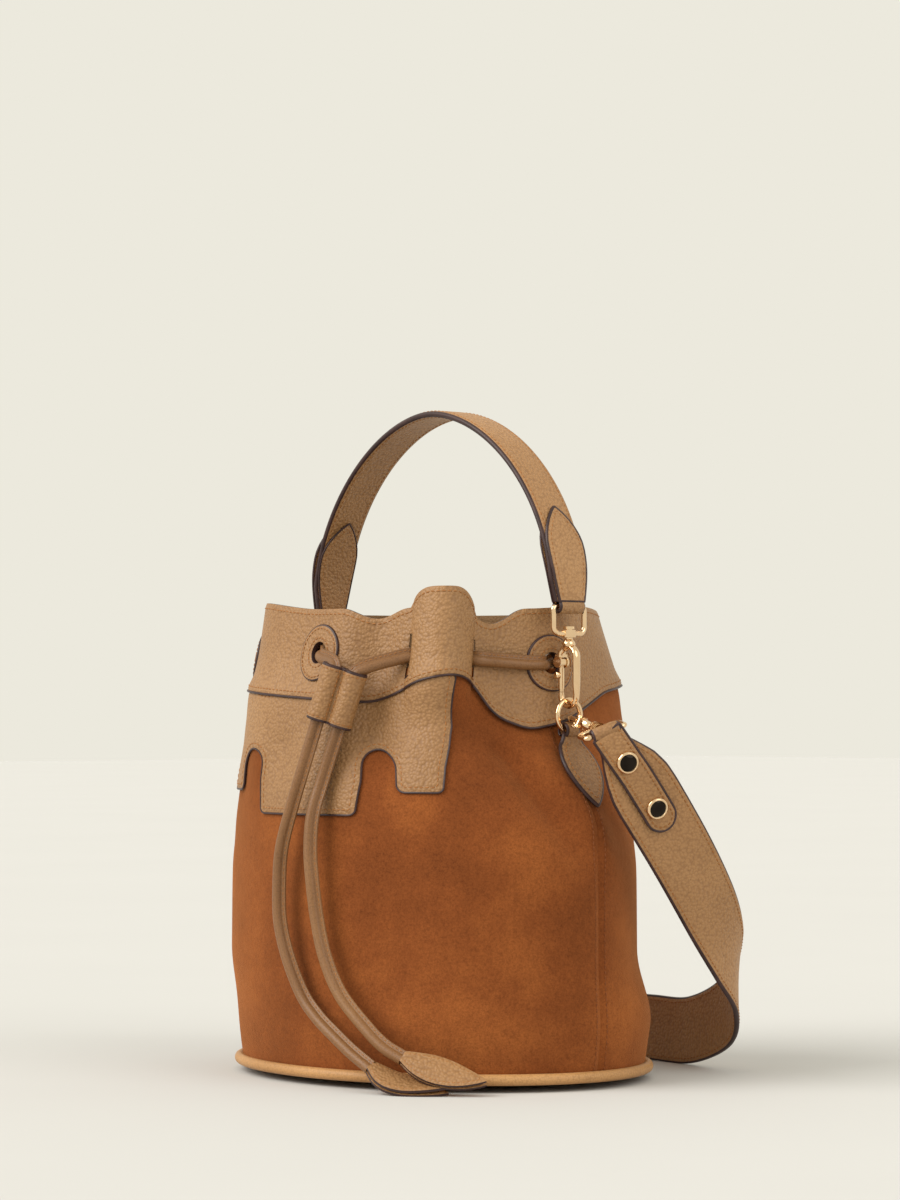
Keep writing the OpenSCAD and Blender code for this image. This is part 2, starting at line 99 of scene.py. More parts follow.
def soft_table(table):
    """The table's straight runs, rounded where they meet."""
    rough = np.interp(FINE_Z, [p[0] for p in table], [p[1] for p in table])
    width = 13
    padded = np.pad(rough, width, mode="edge")
    window = np.hanning(2 * width + 1)
    return np.convolve(padded, window / window.sum(), mode="valid")


HALF_W, HALF_D = soft_table(W_TABLE), soft_table(D_TABLE)


def bump(d, w):
    d = (np.asarray(d, float) + 180) % 360 - 180
    return np.where(np.abs(d) < w, (1 + np.cos(np.pi * d / w)) / 2, 0)


def rise(z, z0, z1):
    f = np.clip((np.asarray(z, float) - z0) / (z1 - z0), 0, 1)
    return (1 - np.cos(np.pi * f)) / 2


def wave(t, z):
    lift = rise(z, 130, 225)
    big = (0.16 * bump(t + 42, 40) + 0.09 * bump(t - 142, 36) * (1 - rise(z, 225, 290))
           + 0.05 * bump(t - TAB_T, 13))
    slack = 0.075 * bump(t - 138, 62) * rise(z, 30, 75) * (1 - rise(z, 140, 190))
    slack = slack - 0.04 * bump(t + 42, 62) * rise(z, 30, 75) * (1 - rise(z, 135, 195))
    return 1 + lift * (big - 0.08 * bump(t - 25, 14) - 0.09 * bump(t - 74, 26)) - slack


def tab(t, z):
    """The raised tab between the two slits, in millimetres."""
    d = (np.asarray(t, float) - TAB_T + 180) % 360 - 180
    arch = np.sqrt(np.clip(1 - (d / TAB_W) ** 2, 0, 1))
    return TAB_H * arch * rise(z, JOIN_Z - 22, JOIN_Z + 16)


TAB_T, TAB_W, TAB_H = 48.5, 11.3, 10


def rim(t):
    t = np.asarray(t, float)
    crest = 12 * np.clip(1 - ((t - TAB_T) / 12.5) ** 4, 0, 1)
    return (RIM_Z + 5 * bump(t + 42, 40) + crest - 9 * bump(t - 67, 16) - 6 * bump(t - 22, 14)
            + 2 * bump(t - 110, 30))


HEM = [(-180, 224), (-90, 222), (-42, 224), (-12, 220), (10, 218), (24, 216.5), (34, 221), (42, 229),
       (53, 233), (60, 228), (68, 209), (80, 201), (92, 205), (119, 223), (138, 227), (180, 224)]


def hem(t):
    """Height of the collar's lower edge."""
    t = (np.asarray(t, float) + 180) % 360 - 180
    around = np.interp([t - 4, t - 2, t, t + 2, t + 4], [p[0] for p in HEM], [p[1] for p in HEM])
    return np.tensordot([0.12, 0.23, 0.3, 0.23, 0.12], around, 1)


def wall(t, z, off=0.0):
    """Points of the wall at angles t (degrees from the front towards +X) and heights z, pushed out by off."""
    t, z = np.asarray(t, float), np.asarray(z, float)
    k = wave(t, z)
    off = off + tab(t, z)
    a = np.interp(z, FINE_Z, HALF_W) * k + off
    b = np.interp(z, FINE_Z, HALF_D) * k + off
    r = np.radians(t)
    return np.stack(np.broadcast_arrays(a * np.sin(r), -b * np.cos(r), z), axis=-1)


# ---------------------------------------------------------------- mesh helpers
def new_object(name, verts, faces, mats, mat_ids=None, sharp=38):
    mesh = bpy.data.meshes.new(name)
    points = [tuple(v) for v in np.asarray(verts, float) * MM]
    mesh.from_pydata(points, [], [tuple(int(i) for i in f) for f in faces])
    obj = bpy.data.objects.new(name, mesh)
    bpy.context.scene.collection.objects.link(obj)
    for m in mats:
        mesh.materials.append(m)
    if mat_ids is not None:
        mesh.polygons.foreach_set("material_index", np.asarray(mat_ids, dtype=np.int32))
    bm = bmesh.new()
    bm.from_mesh(mesh)
    bmesh.ops.recalc_face_normals(bm, faces=bm.faces)
    limit = math.radians(sharp)
    for f in bm.faces:
        f.smooth = True
    for e in bm.edges:
        if len(e.link_faces) == 2 and e.calc_face_angle(0) > limit:
            e.smooth = False
    bm.to_mesh(mesh)
    bm.free()
    mesh.update()
    return obj


def grid_faces(rows, cols, wrap_rows=False, wrap_cols=False):
    out = []
    for i in range(rows if wrap_rows else rows - 1):
        for j in range(cols if wrap_cols else cols - 1):
            a, b = i, (i + 1) % rows
            c, d = j, (j + 1) % cols
            out.append((a * cols + c, b * cols + c, b * cols + d, a * cols + d))
    return out


def spline(points, n):
    """A smooth curve through the points, with n steps between each two."""
    p = np.asarray(points, float)
    p = np.vstack([2 * p[0] - p[1], p, 2 * p[-1] - p[-2]])
    out = []
    for i in range(1, len(p) - 2):
        a, b, c, d = p[i - 1:i + 3]
        for f in np.arange(n) / n:
            out.append(b + f * (c - a) / 2 + f * f * (2 * a - 5 * b + 4 * c - d) / 2
                       + f ** 3 * (3 * b - a - 3 * c + d) / 2)
    return np.array(out + [p[-2]])


def even(points, step):
    """The same line with points at equal steps."""
    p = np.asarray(points, float)
    s = np.concatenate([[0], np.cumsum(np.linalg.norm(np.diff(p, axis=0), axis=1))])
    n = max(2, int(round(s[-1] / step)) + 1)
    at = np.linspace(0, s[-1], n)
    return np.stack([np.interp(at, s, p[:, k]) for k in range(p.shape[1])], axis=1)


def unit(v):
    v = np.asarray(v, float)
    return v / np.maximum(np.linalg.norm(v, axis=-1, keepdims=True), 1e-9)


def tangents(p):
    return unit(np.gradient(np.asarray(p, float), axis=0))


def sweep(name, path, outward, profile, mats, ids=None, scale=None, caps=True, closed=False):
    """Sweeps profile (side, out pairs) along path. The outward hints say where out is; scale is per point."""
    path = np.asarray(path, float)
    if closed:
        t = unit(np.roll(path, -1, axis=0) - np.roll(path, 1, axis=0))
    else:
        t = tangents(path)
    side = unit(np.cross(outward, t))
    out = np.cross(t, side)
    prof = np.asarray(profile, float)
    scale = np.ones((len(path), 2)) if scale is None else np.asarray(scale, float)
    u = prof[None, :, 0] * scale[:, 0:1]
    v = prof[None, :, 1] * scale[:, 1:2]
    verts = (path[:, None] + side[:, None] * u[..., None] + out[:, None] * v[..., None]).reshape(-1, 3)
    n, m = len(path), len(prof)
    faces = grid_faces(n, m, closed, True)
    ids = [0] * m if ids is None else list(ids)
    mat_ids = ids * (n if closed else n - 1)
    if caps and not closed:
        faces += [tuple(range(m))[::-1], tuple(range((n - 1) * m, n * m))]
        mat_ids += [ids[0] if len(mats) < 2 else 1] * 2
    return new_object(name, verts, faces, mats, mat_ids)


def oval(rx, ry, n):
    """An oval profile of n points."""
    return [(rx * math.cos(a), ry * math.sin(a)) for a in np.linspace(0, 2 * np.pi, n, endpoint=False)]


def side_only(widths):
    """Scale rows for sweep that change a profile's width and keep its thickness."""
    return np.stack([widths, np.ones(len(widths))], axis=1)


def strap_profile(w, t, crown=0.5, n=12):
    """Cross section of a strap: top, painted side, bottom, painted side. Returns points and ids."""
    xs = np.linspace(-w / 2 + 0.9, w / 2 - 0.9, n)
    top = [(x, t / 2 + crown * (1 - (2 * x / w) ** 4)) for x in xs]
    side = [(w / 2 + 0.15, t / 4), (w / 2 + 0.35, 0), (w / 2 + 0.15, -t / 4)]
    bottom = [(x, -t / 2 - 0.3 * crown * (1 - (2 * x / w) ** 4)) for x in xs[::-1]]
    other = [(-x, -y) for x, y in side]
    pts = top + side + bottom + other
    ids = [0] * (n - 1) + [1] * 4 + [0] * (n - 1) + [1] * 4
    return pts, ids


def inside(points, poly):
    x, y = points[:, 0], points[:, 1]
    res = np.zeros(len(points), bool)
    q = np.asarray(poly, float)
    for (x0, y0), (x1, y1) in zip(q, np.roll(q, -1, axis=0)):
        if y0 == y1:
            continue
        hit = ((y0 > y) != (y1 > y)) & (x < (x1 - x0) * (y - y0) / (y1 - y0) + x0)
        res ^= hit
    return res


def nearest(points, polys):
    best = np.full(len(points), 1e9)
    out = points.copy()
    for poly in polys:
        q = np.asarray(poly, float)
        for a, b in zip(q, np.roll(q, -1, axis=0)):
            ab = b - a
            f = np.clip(((points - a) @ ab) / max(ab @ ab, 1e-9), 0, 1)
            c = a + f[:, None] * ab
            d = np.linalg.norm(points - c, axis=1)
            hit = d < best
            best[hit] = d[hit]
            out[hit] = c[hit]
    return out, best


def panel(name, outline, place, thick, mats, holes=(), cell=1.8, off=0.0, roll=0.45):
    """Leather cut to outline, laid by place(uv, off) -> xyz, with painted edges and a rolled top edge."""
    q = np.asarray(outline, float)
    lo, hi = q.min(0), q.max(0)
    nx, ny = [max(2, int(math.ceil(s / cell))) for s in hi - lo]
    xs, ys = np.linspace(lo[0], hi[0], nx + 1), np.linspace(lo[1], hi[1], ny + 1)
    gx, gy = np.meshgrid(xs, ys, indexing="ij")
    pts = np.stack([gx.ravel(), gy.ravel()], axis=1)
    cx = (xs[:-1] + xs[1:]) / 2
    cy = (ys[:-1] + ys[1:]) / 2
    mx, my = np.meshgrid(cx, cy, indexing="ij")
    mids = np.stack([mx.ravel(), my.ravel()], axis=1)
    keep = inside(mids, outline)
    for h in holes:
        keep &= ~inside(mids, h)
    keep = keep.reshape(nx, ny)
    cells = [(i, j) for i in range(nx) for j in range(ny) if keep[i, j]]
    row = ny + 1
    quads = np.array([(i * row + j, (i + 1) * row + j, (i + 1) * row + j + 1, i * row + j + 1) for i, j in cells])
    edges = {}
    for qd in quads:
        for a, b in zip(qd, np.roll(qd, -1)):
            key = (min(a, b), max(a, b))
            edges[key] = None if key in edges else (a, b)
    border = [e for e in edges.values() if e is not None]
    rim_ids = np.array(sorted({v for e in border for v in e}))
    pts[rim_ids], _ = nearest(pts[rim_ids], [outline, *holes])
    used = np.unique(quads)
    remap = {v: k for k, v in enumerate(used)}
    uv = pts[used]
    is_rim = np.zeros(len(used), bool)
    is_rim[[remap[v] for v in rim_ids]] = True
    top = place(uv, off + thick - np.where(is_rim, roll, 0))
    low = place(uv, off + np.where(is_rim, roll * 0.4, 0))
    n = len(used)
    faces = [tuple(remap[v] for v in qd) for qd in quads]
    under = [tuple(n + v for v in f[::-1]) for f in faces]
    sides = [(remap[b], remap[a], n + remap[a], n + remap[b]) for a, b in border]
    ids = [0] * len(faces) + [2 if len(mats) > 2 else 0] * len(under) + [1] * len(sides)
    return new_object(name, np.vstack([top, low]), faces + under + sides, mats, ids)


def painted_edge(name, outline, place, height, radius=0.6, closed=True):
    """A bead of edge paint along a cut edge."""
    line = even(np.vstack([outline, outline[:1]]) if closed else np.asarray(outline, float), 1.2)
    if closed:
        line = line[:-1]
    path = place(line, height)
    out = unit(place(line, height + 1) - path)
    return sweep(name, path, out, oval(radius, radius, 8), [EDGE], closed=closed)


def inset(outline, d, step=0.8):
    """The line that runs d inside a closed outline, in pieces where the outline allows it."""
    q = even(np.vstack([outline, outline[0]]), step)[:-1]
    t = unit(np.roll(q, -1, axis=0) - np.roll(q, 1, axis=0))
    nrm = np.stack([-t[:, 1], t[:, 0]], axis=1)
    area = np.sum(q[:, 0] * np.roll(q[:, 1], -1) - q[:, 1] * np.roll(q[:, 0], -1))
    p = q + nrm * (d if area > 0 else -d)
    _, dist = nearest(p, [outline])
    return p[dist > 0.93 * abs(d)]


THREAD_R = 0.36


def stitch_mesh(name, lines, mat, pitch=3.3, length=2.4, radius=THREAD_R):
    """Thread stitches along lines of 3-D points; one small spindle a stitch."""
    ring_at = [(-0.5, 0.25), (-0.3, 0.85), (0, 1.0), (0.3, 0.85), (0.5, 0.25)]
    sides = 6
    verts, faces = [], []
    for line in lines:
        p = np.asarray(line, float)
        if len(p) < 3:
            continue
        gaps = np.linalg.norm(np.diff(p, axis=0), axis=1)
        start = 0
        for end in [*np.where(gaps > 4)[0], len(p) - 1]:
            part = p[start:end + 1]
            start = end + 1
            if len(part) < 3:
                continue
            q = even(part, pitch)
            t = tangents(q)
            for c, d in zip(q, t):
                s = unit(np.cross(d, (0.3, 0.2, 0.93)))
                o = np.cross(d, s)
                base = len(verts)
                for along, fat in ring_at:
                    for a in range(sides):
                        ang = 2 * math.pi * a / sides
                        spoke = math.cos(ang) * s + math.sin(ang) * o
                        verts.append(c + d * along * length + radius * fat * spoke)
                for r in range(len(ring_at) - 1):
                    for a in range(sides):
                        b = (a + 1) % sides
                        faces.append((base + r * sides + a, base + r * sides + b, base + (r + 1) * sides + b,
                                      base + (r + 1) * sides + a))
                faces.append(tuple(base + a for a in range(sides))[::-1])
                faces.append(tuple(base + (len(ring_at) - 1) * sides + a for a in range(sides)))
    return new_object(name, verts, faces, [mat], sharp=80)


# ---------------------------------------------------------------- materials
def material(name):
    mat = bpy.data.materials.new(name)
    mat.use_nodes = True
    nodes, links = mat.node_tree.nodes, mat.node_tree.links
    return mat, nodes, links, nodes["Principled BSDF"]


def coords(nodes, links, scale=(1, 1, 1)):
    tex = nodes.new("ShaderNodeTexCoord")
    mapping = nodes.new("ShaderNodeMapping")
    mapping.inputs["Scale"].default_value = scale
    links.new(tex.outputs["Object"], mapping.inputs["Vector"])
    return mapping.outputs["Vector"]


def noise(nodes, links, vec, scale, detail=4, rough=0.55):
    n = nodes.new("ShaderNodeTexNoise")
    n.inputs["Scale"].default_value = scale
    n.inputs["Detail"].default_value = detail
    n.inputs["Roughness"].default_value = rough
    links.new(vec, n.inputs["Vector"])
    return n.outputs["Fac"]


def ramp(nodes, links, fac, stops):
    r = nodes.new("ShaderNodeValToRGB")
    while len(r.color_ramp.elements) < len(stops):
        r.color_ramp.elements.new(0.5)
    for e, (pos, col) in zip(r.color_ramp.elements, stops):
        e.position = pos
        e.color = (*col, 1)
    links.new(fac, r.inputs["Fac"])
    return r.outputs["Color"]


def two_tone(nodes, links, vec, scale, dark, light, detail=4, rough=0.55):
    return ramp(nodes, links, noise(nodes, links, vec, scale, detail, rough), [(0.3, dark), (0.7, light)])


def blend_rgb(nodes, links, kind, fac, a, b):
    m = nodes.new("ShaderNodeMix")
    m.data_type = "RGBA"
    m.blend_type = kind
    m.inputs["Factor"].default_value = fac
    links.new(a, m.inputs["A"])
    links.new(b, m.inputs["B"])
    return m.outputs["Result"]


def add_bump(nodes, links, height, strength, distance, before=None):
    b = nodes.new("ShaderNodeBump")
    b.inputs["Strength"].default_value = strength
    b.inputs["Distance"].default_value = distance
    links.new(height, b.inputs["Height"])
    if before is not None:
        links.new(before, b.inputs["Normal"])
    return b.outputs["Normal"]


def srgb(r, g, b):
    def lin(c):
        c /= 255
        return c / 12.92 if c <= 0.04045 else ((c + 0.055) / 1.055) ** 2.4
    return lin(r), lin(g), lin(b)


def make_leather(name, light, mid, dark, pebble, depth, rough=0.5):
    mat, nodes, links, bsdf = material(name)
    vec = coords(nodes, links)
    cells = nodes.new("ShaderNodeTexVoronoi")
    cells.feature = "SMOOTH_F1"
    cells.inputs["Scale"].default_value = pebble
    cells.inputs["Smoothness"].default_value = 0.35
    cells.inputs["Randomness"].default_value = 0.9
    warp = nodes.new("ShaderNodeVectorMath")
    warp.operation = "MULTIPLY_ADD"
    soft = nodes.new("ShaderNodeTexNoise")
    soft.inputs["Scale"].default_value = 220
    links.new(vec, soft.inputs["Vector"])
    links.new(soft.outputs["Color"], warp.inputs[0])
    warp.inputs[1].default_value = (0.0009, 0.0009, 0.0009)
    links.new(vec, warp.inputs[2])
    links.new(warp.outputs["Vector"], cells.inputs["Vector"])
    stops = [(0.3, srgb(*dark)), (0.55, srgb(*mid)), (0.8, srgb(*light))]
    tone = ramp(nodes, links, noise(nodes, links, vec, 9, 3), stops)
    pits = ramp(nodes, links, cells.outputs["Distance"], [(0.0, (1, 1, 1)), (0.42, (0.94, 0.94, 0.93)),
                                                          (0.8, (0.68, 0.64, 0.6))])
    links.new(blend_rgb(nodes, links, "MULTIPLY", 0.75, tone, pits), bsdf.inputs["Base Color"])
    invert = nodes.new("ShaderNodeMath")
    invert.operation = "MULTIPLY"
    invert.inputs[1].default_value = -1
    links.new(cells.outputs["Distance"], invert.inputs[0])
    fine = add_bump(nodes, links, noise(nodes, links, vec, 2600, 3), 0.2, 0.00008)
    links.new(add_bump(nodes, links, invert.outputs[0], 0.75, depth, fine), bsdf.inputs["Normal"])
    rr = nodes.new("ShaderNodeMapRange")
    rr.inputs["To Min"].default_value = rough - 0.07
    rr.inputs["To Max"].default_value = rough + 0.12
    links.new(noise(nodes, links, vec, 60, 3), rr.inputs["Value"])
    links.new(rr.outputs["Result"], bsdf.inputs["Roughness"])
    bsdf.inputs["Specular IOR Level"].default_value = 0.42
    return mat


def make_suede():
    mat, nodes, links, bsdf = material("cognac_suede")
    vec = coords(nodes, links)
    tall = coords(nodes, links, (1, 1, 0.55))
    nap = noise(nodes, links, vec, 14, 5, 0.6)
    tones = [(0.25, srgb(106, 56, 25)), (0.5, srgb(132, 72, 34)), (0.75, srgb(162, 94, 46))]
    base = ramp(nodes, links, nap, tones)
    mottle = ramp(nodes, links, noise(nodes, links, vec, 420, 4, 0.75),
                  [(0.32, (0.58, 0.55, 0.52)), (0.5, (0.95, 0.95, 0.95)), (0.66, (1, 1, 1))])
    fibre = ramp(nodes, links, noise(nodes, links, vec, 900, 3, 0.8),
                 [(0.33, (0.55, 0.52, 0.5)), (0.6, (1, 1, 1))])
    colour = blend_rgb(nodes, links, "MULTIPLY", 0.55, base, mottle)
    colour = blend_rgb(nodes, links, "MULTIPLY", 0.7, colour, fibre)
    links.new(colour, bsdf.inputs["Base Color"])
    bsdf.inputs["Roughness"].default_value = 0.95
    bsdf.inputs["Specular IOR Level"].default_value = 0.12
    bsdf.inputs["Sheen Weight"].default_value = 0.7
    bsdf.inputs["Sheen Roughness"].default_value = 0.38
    bsdf.inputs["Sheen Tint"].default_value = (*srgb(235, 160, 100), 1)
    soft = add_bump(nodes, links, noise(nodes, links, tall, 1500, 4, 0.8), 0.55, 0.0004)
    broad = noise(nodes, links, vec, 240, 3, 0.6)
    links.new(add_bump(nodes, links, broad, 0.35, 0.0006, soft), bsdf.inputs["Normal"])
    return mat


def make_plain(name, dark, light, scale, rough, bump_d, spec=0.4, stretch=(1, 1, 1)):
    mat, nodes, links, bsdf = material(name)
    vec = coords(nodes, links, stretch)
    links.new(two_tone(nodes, links, vec, scale, dark, light, 4, 0.6), bsdf.inputs["Base Color"])
    bsdf.inputs["Roughness"].default_value = rough
    bsdf.inputs["Specular IOR Level"].default_value = spec
    fine = noise(nodes, links, vec, scale * 2.5, 3)
    links.new(add_bump(nodes, links, fine, 0.5, bump_d), bsdf.inputs["Normal"])
    return mat


def make_lining():
    mat, nodes, links, bsdf = material("lining_cloth")
    vec = coords(nodes, links)
    waves = []
    for axis in ("X", "Z"):
        w = nodes.new("ShaderNodeTexWave")
        w.bands_direction = axis
        w.inputs["Scale"].default_value = 420
        w.inputs["Distortion"].default_value = 0.6
        links.new(vec, w.inputs["Vector"])
        waves.append(w.outputs["Color"])
    weave = blend_rgb(nodes, links, "MULTIPLY", 1.0, waves[0], waves[1])
    tone = two_tone(nodes, links, vec, 30, srgb(168, 138, 104), srgb(188, 158, 122))
    links.new(blend_rgb(nodes, links, "MULTIPLY", 0.25, tone, weave), bsdf.inputs["Base Color"])
    bsdf.inputs["Roughness"].default_value = 0.9
    links.new(add_bump(nodes, links, weave, 0.4, 0.0002), bsdf.inputs["Normal"])
    return mat


def make_gold():
    mat, nodes, links, bsdf = material("pale_gold")
    vec = coords(nodes, links)
    tone = two_tone(nodes, links, vec, 40, srgb(226, 190, 148), srgb(242, 212, 172))
    links.new(tone, bsdf.inputs["Base Color"])
    bsdf.inputs["Metallic"].default_value = 1
    rr = nodes.new("ShaderNodeMapRange")
    rr.inputs["To Min"].default_value = 0.07
    rr.inputs["To Max"].default_value = 0.16
    links.new(noise(nodes, links, vec, 260, 4), rr.inputs["Value"])
    links.new(rr.outputs["Result"], bsdf.inputs["Roughness"])
    links.new(add_bump(nodes, links, noise(nodes, links, vec, 900, 3), 0.04, 0.0001), bsdf.inputs["Normal"])
    return mat


# The strap and handle take a lighter copy of the same pebbled leather: painted light on pieces that face right,
# away from the key light. The main leather's tones sit a touch darker, partly painted shade of the collar's folds.
LEATHER = make_leather("pebbled_leather", (174, 132, 88), (158, 117, 75), (143, 103, 62), 560, 0.0008)
LIT_STRAP_LEATHER = make_leather("strap_leather_painted_lighter", (188, 144, 98), (174, 130, 85), (160, 117, 73), 560, 0.0008)
LEATHER_BACK = make_leather("leather_back", (160, 126, 88), (146, 112, 76), (132, 99, 64), 900, 0.0003, 0.65)
CORD_LEATHER = make_leather("cord_leather", (146, 106, 64), (130, 90, 52), (112, 76, 42), 1200, 0.00015, 0.42)
PIPING = make_leather("piping_leather", (200, 152, 98), (186, 139, 87), (171, 125, 75), 900, 0.0002)
SUEDE = make_suede()
EDGE = make_plain("edge_paint", srgb(44, 27, 26), srgb(66, 43, 40), 90, 0.42, 0.0001, 0.35)
THREAD = make_plain("tan_thread", srgb(138, 86, 40), srgb(170, 114, 60), 900, 0.6, 0.0001, 0.3)
DARK_THREAD = make_plain("brown_thread", srgb(112, 60, 26), srgb(138, 78, 36), 900, 0.7, 0.0001, 0.3)
LINING = make_lining()
BOARD = make_plain("board_grey", srgb(60, 56, 52), srgb(84, 78, 72), 120, 0.8, 0.0002)
GOLD = make_gold()


# ---------------------------------------------------------------- pieces of the bag's body
def wall_uv(t0):
    """Place function for panels: u is millimetres round the wall from angle t0 and v is height."""
    def place(uv, off):
        return wall(t0 + uv[:, 0] / MM_PER_DEG, uv[:, 1], off)
    return place


def suede_off(t, z):
    """Soft folds of the suede: gathers under the collar, a valley right of the tab, a sagging middle."""
    g = rise(z, 140, 200)
    fine = 0.9 * np.sin(np.radians(t * 11 + 40)) + 0.7 * np.sin(np.radians(t * 17 + 130))
    d = t - (82 - 0.24 * (z - 130))
    valley = -7.0 * np.exp(-(d / 6) ** 2) * rise(z, 105, 165) * (1 - rise(z, 184, 201))
    ridge = 4.5 * np.exp(-((d - 12) / 7) ** 2) * rise(z, 105, 160) * (1 - rise(z, 178, 199))
    dent = -3.0 * np.exp(-((t - 28) / 13) ** 2) * rise(z, 15, 60) * (1 - rise(z, 120, 175))
    belly = 1.2 * np.sin(np.radians(3 * t + 20)) * rise(z, 12, 60) * (1 - rise(z, 150, 200))
    seam = -1.6 * np.exp(-(((t + 180) % 180 - 90) / 1.3) ** 2)
    return fine * g * (1 - rise(z, 192, 203)) + valley + ridge + dent + belly + seam


def suede_panel(name, a, b, *nodes):
    ts = np.linspace(a, b, 181)
    zs = np.linspace(FLOOR_Z, JOIN_Z + 14, 116)
    tt, zz = np.meshgrid(ts, zs, indexing="ij")
    outer = wall(tt, zz, 1.8 + suede_off(tt, zz)).reshape(-1, 3)
    inner = wall(tt, zz, 0.2 + np.minimum(suede_off(tt, zz), 0)).reshape(-1, 3)
    n = len(outer)
    skin = grid_faces(len(ts), len(zs))
    faces = skin + [tuple(n + v for v in f[::-1]) for f in skin]
    rows, cols = len(ts), len(zs)
    loop = ([i * cols for i in range(rows)] + [(rows - 1) * cols + j for j in range(1, cols)]
            + [i * cols + cols - 1 for i in range(rows - 2, -1, -1)] + [j for j in range(cols - 2, 0, -1)])
    faces += [(p, q, n + q, n + p) for p, q in zip(loop, loop[1:] + loop[:1])]
    obj = new_object(name, np.vstack([outer, inner]), faces, [SUEDE])
    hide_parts(*nodes)
    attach(obj, "bag")


def suede_seams():
    lines = []
    for mid in (90, 270):
        for d in (-2.1, 2.1):
            zs = np.arange(FLOOR_Z + 4, 208, 1.0)
            t = np.full_like(zs, mid + d)
            lines.append(wall(t, zs, 1.9 + suede_off(t, zs)))
    add(stitch_mesh("side_seam_stitches", lines, DARK_THREAD, 3.0, 2.2, 0.34), "bag", "suede")


def add(obj, body, slot=None, *nodes):
    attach(obj, body)
    if nodes:
        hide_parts(*nodes)
    return obj


def edge_stitches(name, outline, place, inward, start, height, body, pitch=3.0, length=2.1, radius=0.32):
    """One row of stitches inside an outline, from u = start on. Returns the piece."""
    line = inset(outline, inward, 0.6)
    line = line[line[:, 0] > start]
    return add(stitch_mesh(name, [place(line, height)], THREAD, pitch, length, radius), body, "leather")


def make_lining_piece():
    ts = np.linspace(0, 357, 120)
    zs = np.linspace(FLOOR_Z + 3, JOIN_Z + 12, 50)
    tt, zz = np.meshgrid(ts, zs, indexing="ij")
    folds = 0.7 * np.sin(np.radians(tt * 9)) * rise(zz, 60, 200)
    outer = wall(tt, zz, -1.2 + np.minimum(suede_off(tt, zz), 0)).reshape(-1, 3)
    inner = wall(tt, zz, -2.2 + folds + np.minimum(suede_off(tt, zz), 0) - tab(tt, zz)).reshape(-1, 3)
    n = len(outer)
    rows, cols = len(ts), len(zs)
    skin = grid_faces(rows, cols, True)
    faces = skin + [tuple(n + v for v in f[::-1]) for f in skin]
    for i in range(rows):
        k = (i + 1) % rows
        top_i, top_k = i * cols + cols - 1, k * cols + cols - 1
        faces.append((top_i, top_k, n + top_k, n + top_i))
        faces.append((k * cols, i * cols, n + i * cols, n + k * cols))
    verts = np.vstack([outer, inner])
    floor = len(verts)
    rings = [np.stack([f * (BASE_A - 6) * np.sin(np.radians(ts)), -f * (BASE_B - 6) * np.cos(np.radians(ts)),
                       np.full(rows, FLOOR_Z + 2.6 + 0.5 * (1 - f))], axis=1) for f in (1, 0.97, 0.66, 0.33)]
    verts = np.vstack([verts, *rings, [(0, 0, FLOOR_Z + 3.1)]])
    for r in range(3):
        for i in range(rows):
            k = (i + 1) % rows
            faces.append((floor + r * rows + i, floor + r * rows + k, floor + (r + 1) * rows + k,
                          floor + (r + 1) * rows + i))
    last = floor + 3 * rows
    faces += [(last + i, last + (i + 1) % rows, len(verts) - 1) for i in range(rows)]
    add(new_object("bag_lining", verts, faces, [LINING]), "bag", "lining", "lining")


def make_piping():
    ts = np.linspace(0, 359, 360)
    r = 3.2
    around = np.radians(ts)
    path = np.stack([(BASE_A - 3.2 + r) * np.sin(around), -(BASE_B - 3.2 + r) * np.cos(around),
                     np.full(len(ts), 4 + r)], axis=1)
    up = np.tile([0.0, 0.0, 1.0], (len(ts), 1))
    add(sweep("base_welt", path, up, oval(r, r, 20), [PIPING], closed=True), "bag", "leather", "base_piping")


def collar_outline():
    us = np.arange(-180, 180.1, 1.0)
    low = [(u * MM_PER_DEG, float(hem(u))) for u in us]
    high = [(u * MM_PER_DEG, float(rim(u))) for u in us[::-1]]
    return low + high


def circle(u, v, r, n=40):
    return [(u + r * math.cos(2 * math.pi * k / n), v + r * math.sin(2 * math.pi * k / n)) for k in range(n)]


def signed(t):
    return (t + 180) % 360 - 180


def slit(t, top):
    u = t * MM_PER_DEG
    return [(u - 1.1, 230), (u + 1.1, 230), (u + 1.1, top), (u - 1.1, top)]


def make_collar():
    flat = wall_uv(0)

    def place(uv, off):
        low = hem(uv[:, 0] / MM_PER_DEG)
        return flat(uv, off + 1.5 * (1 - rise(uv[:, 1], low + 1, low + 11)))
    holes = [circle(signed(t) * MM_PER_DEG, z, 7.2) for t, z in EYELETS]
    holes += [slit(TAB_T - TAB_W, 256), slit(TAB_T + TAB_W, 252)]
    outline = collar_outline()
    mats = [LEATHER, EDGE, LEATHER_BACK]
    obj = panel("leather_collar", outline, place, 2.4, mats, holes, cell=1.5, off=0.9)
    add(obj, "bag", "leather", "collar")
    us = np.arange(-180, 180, 0.7)
    low = np.stack([us * MM_PER_DEG, hem(us)], axis=1)
    add(painted_edge("collar_hem_edge", low, place, 2.9, 0.75, False), "bag", "leather")
    us = np.arange(-179, 179, 0.5)
    rows = [place(np.stack([us * MM_PER_DEG, hem(us) + 3.2], axis=1), 3.35),
            place(np.stack([us * MM_PER_DEG, rim(us) - 3.0], axis=1), 3.35)]
    add(stitch_mesh("collar_stitches", rows, THREAD), "bag", "leather")


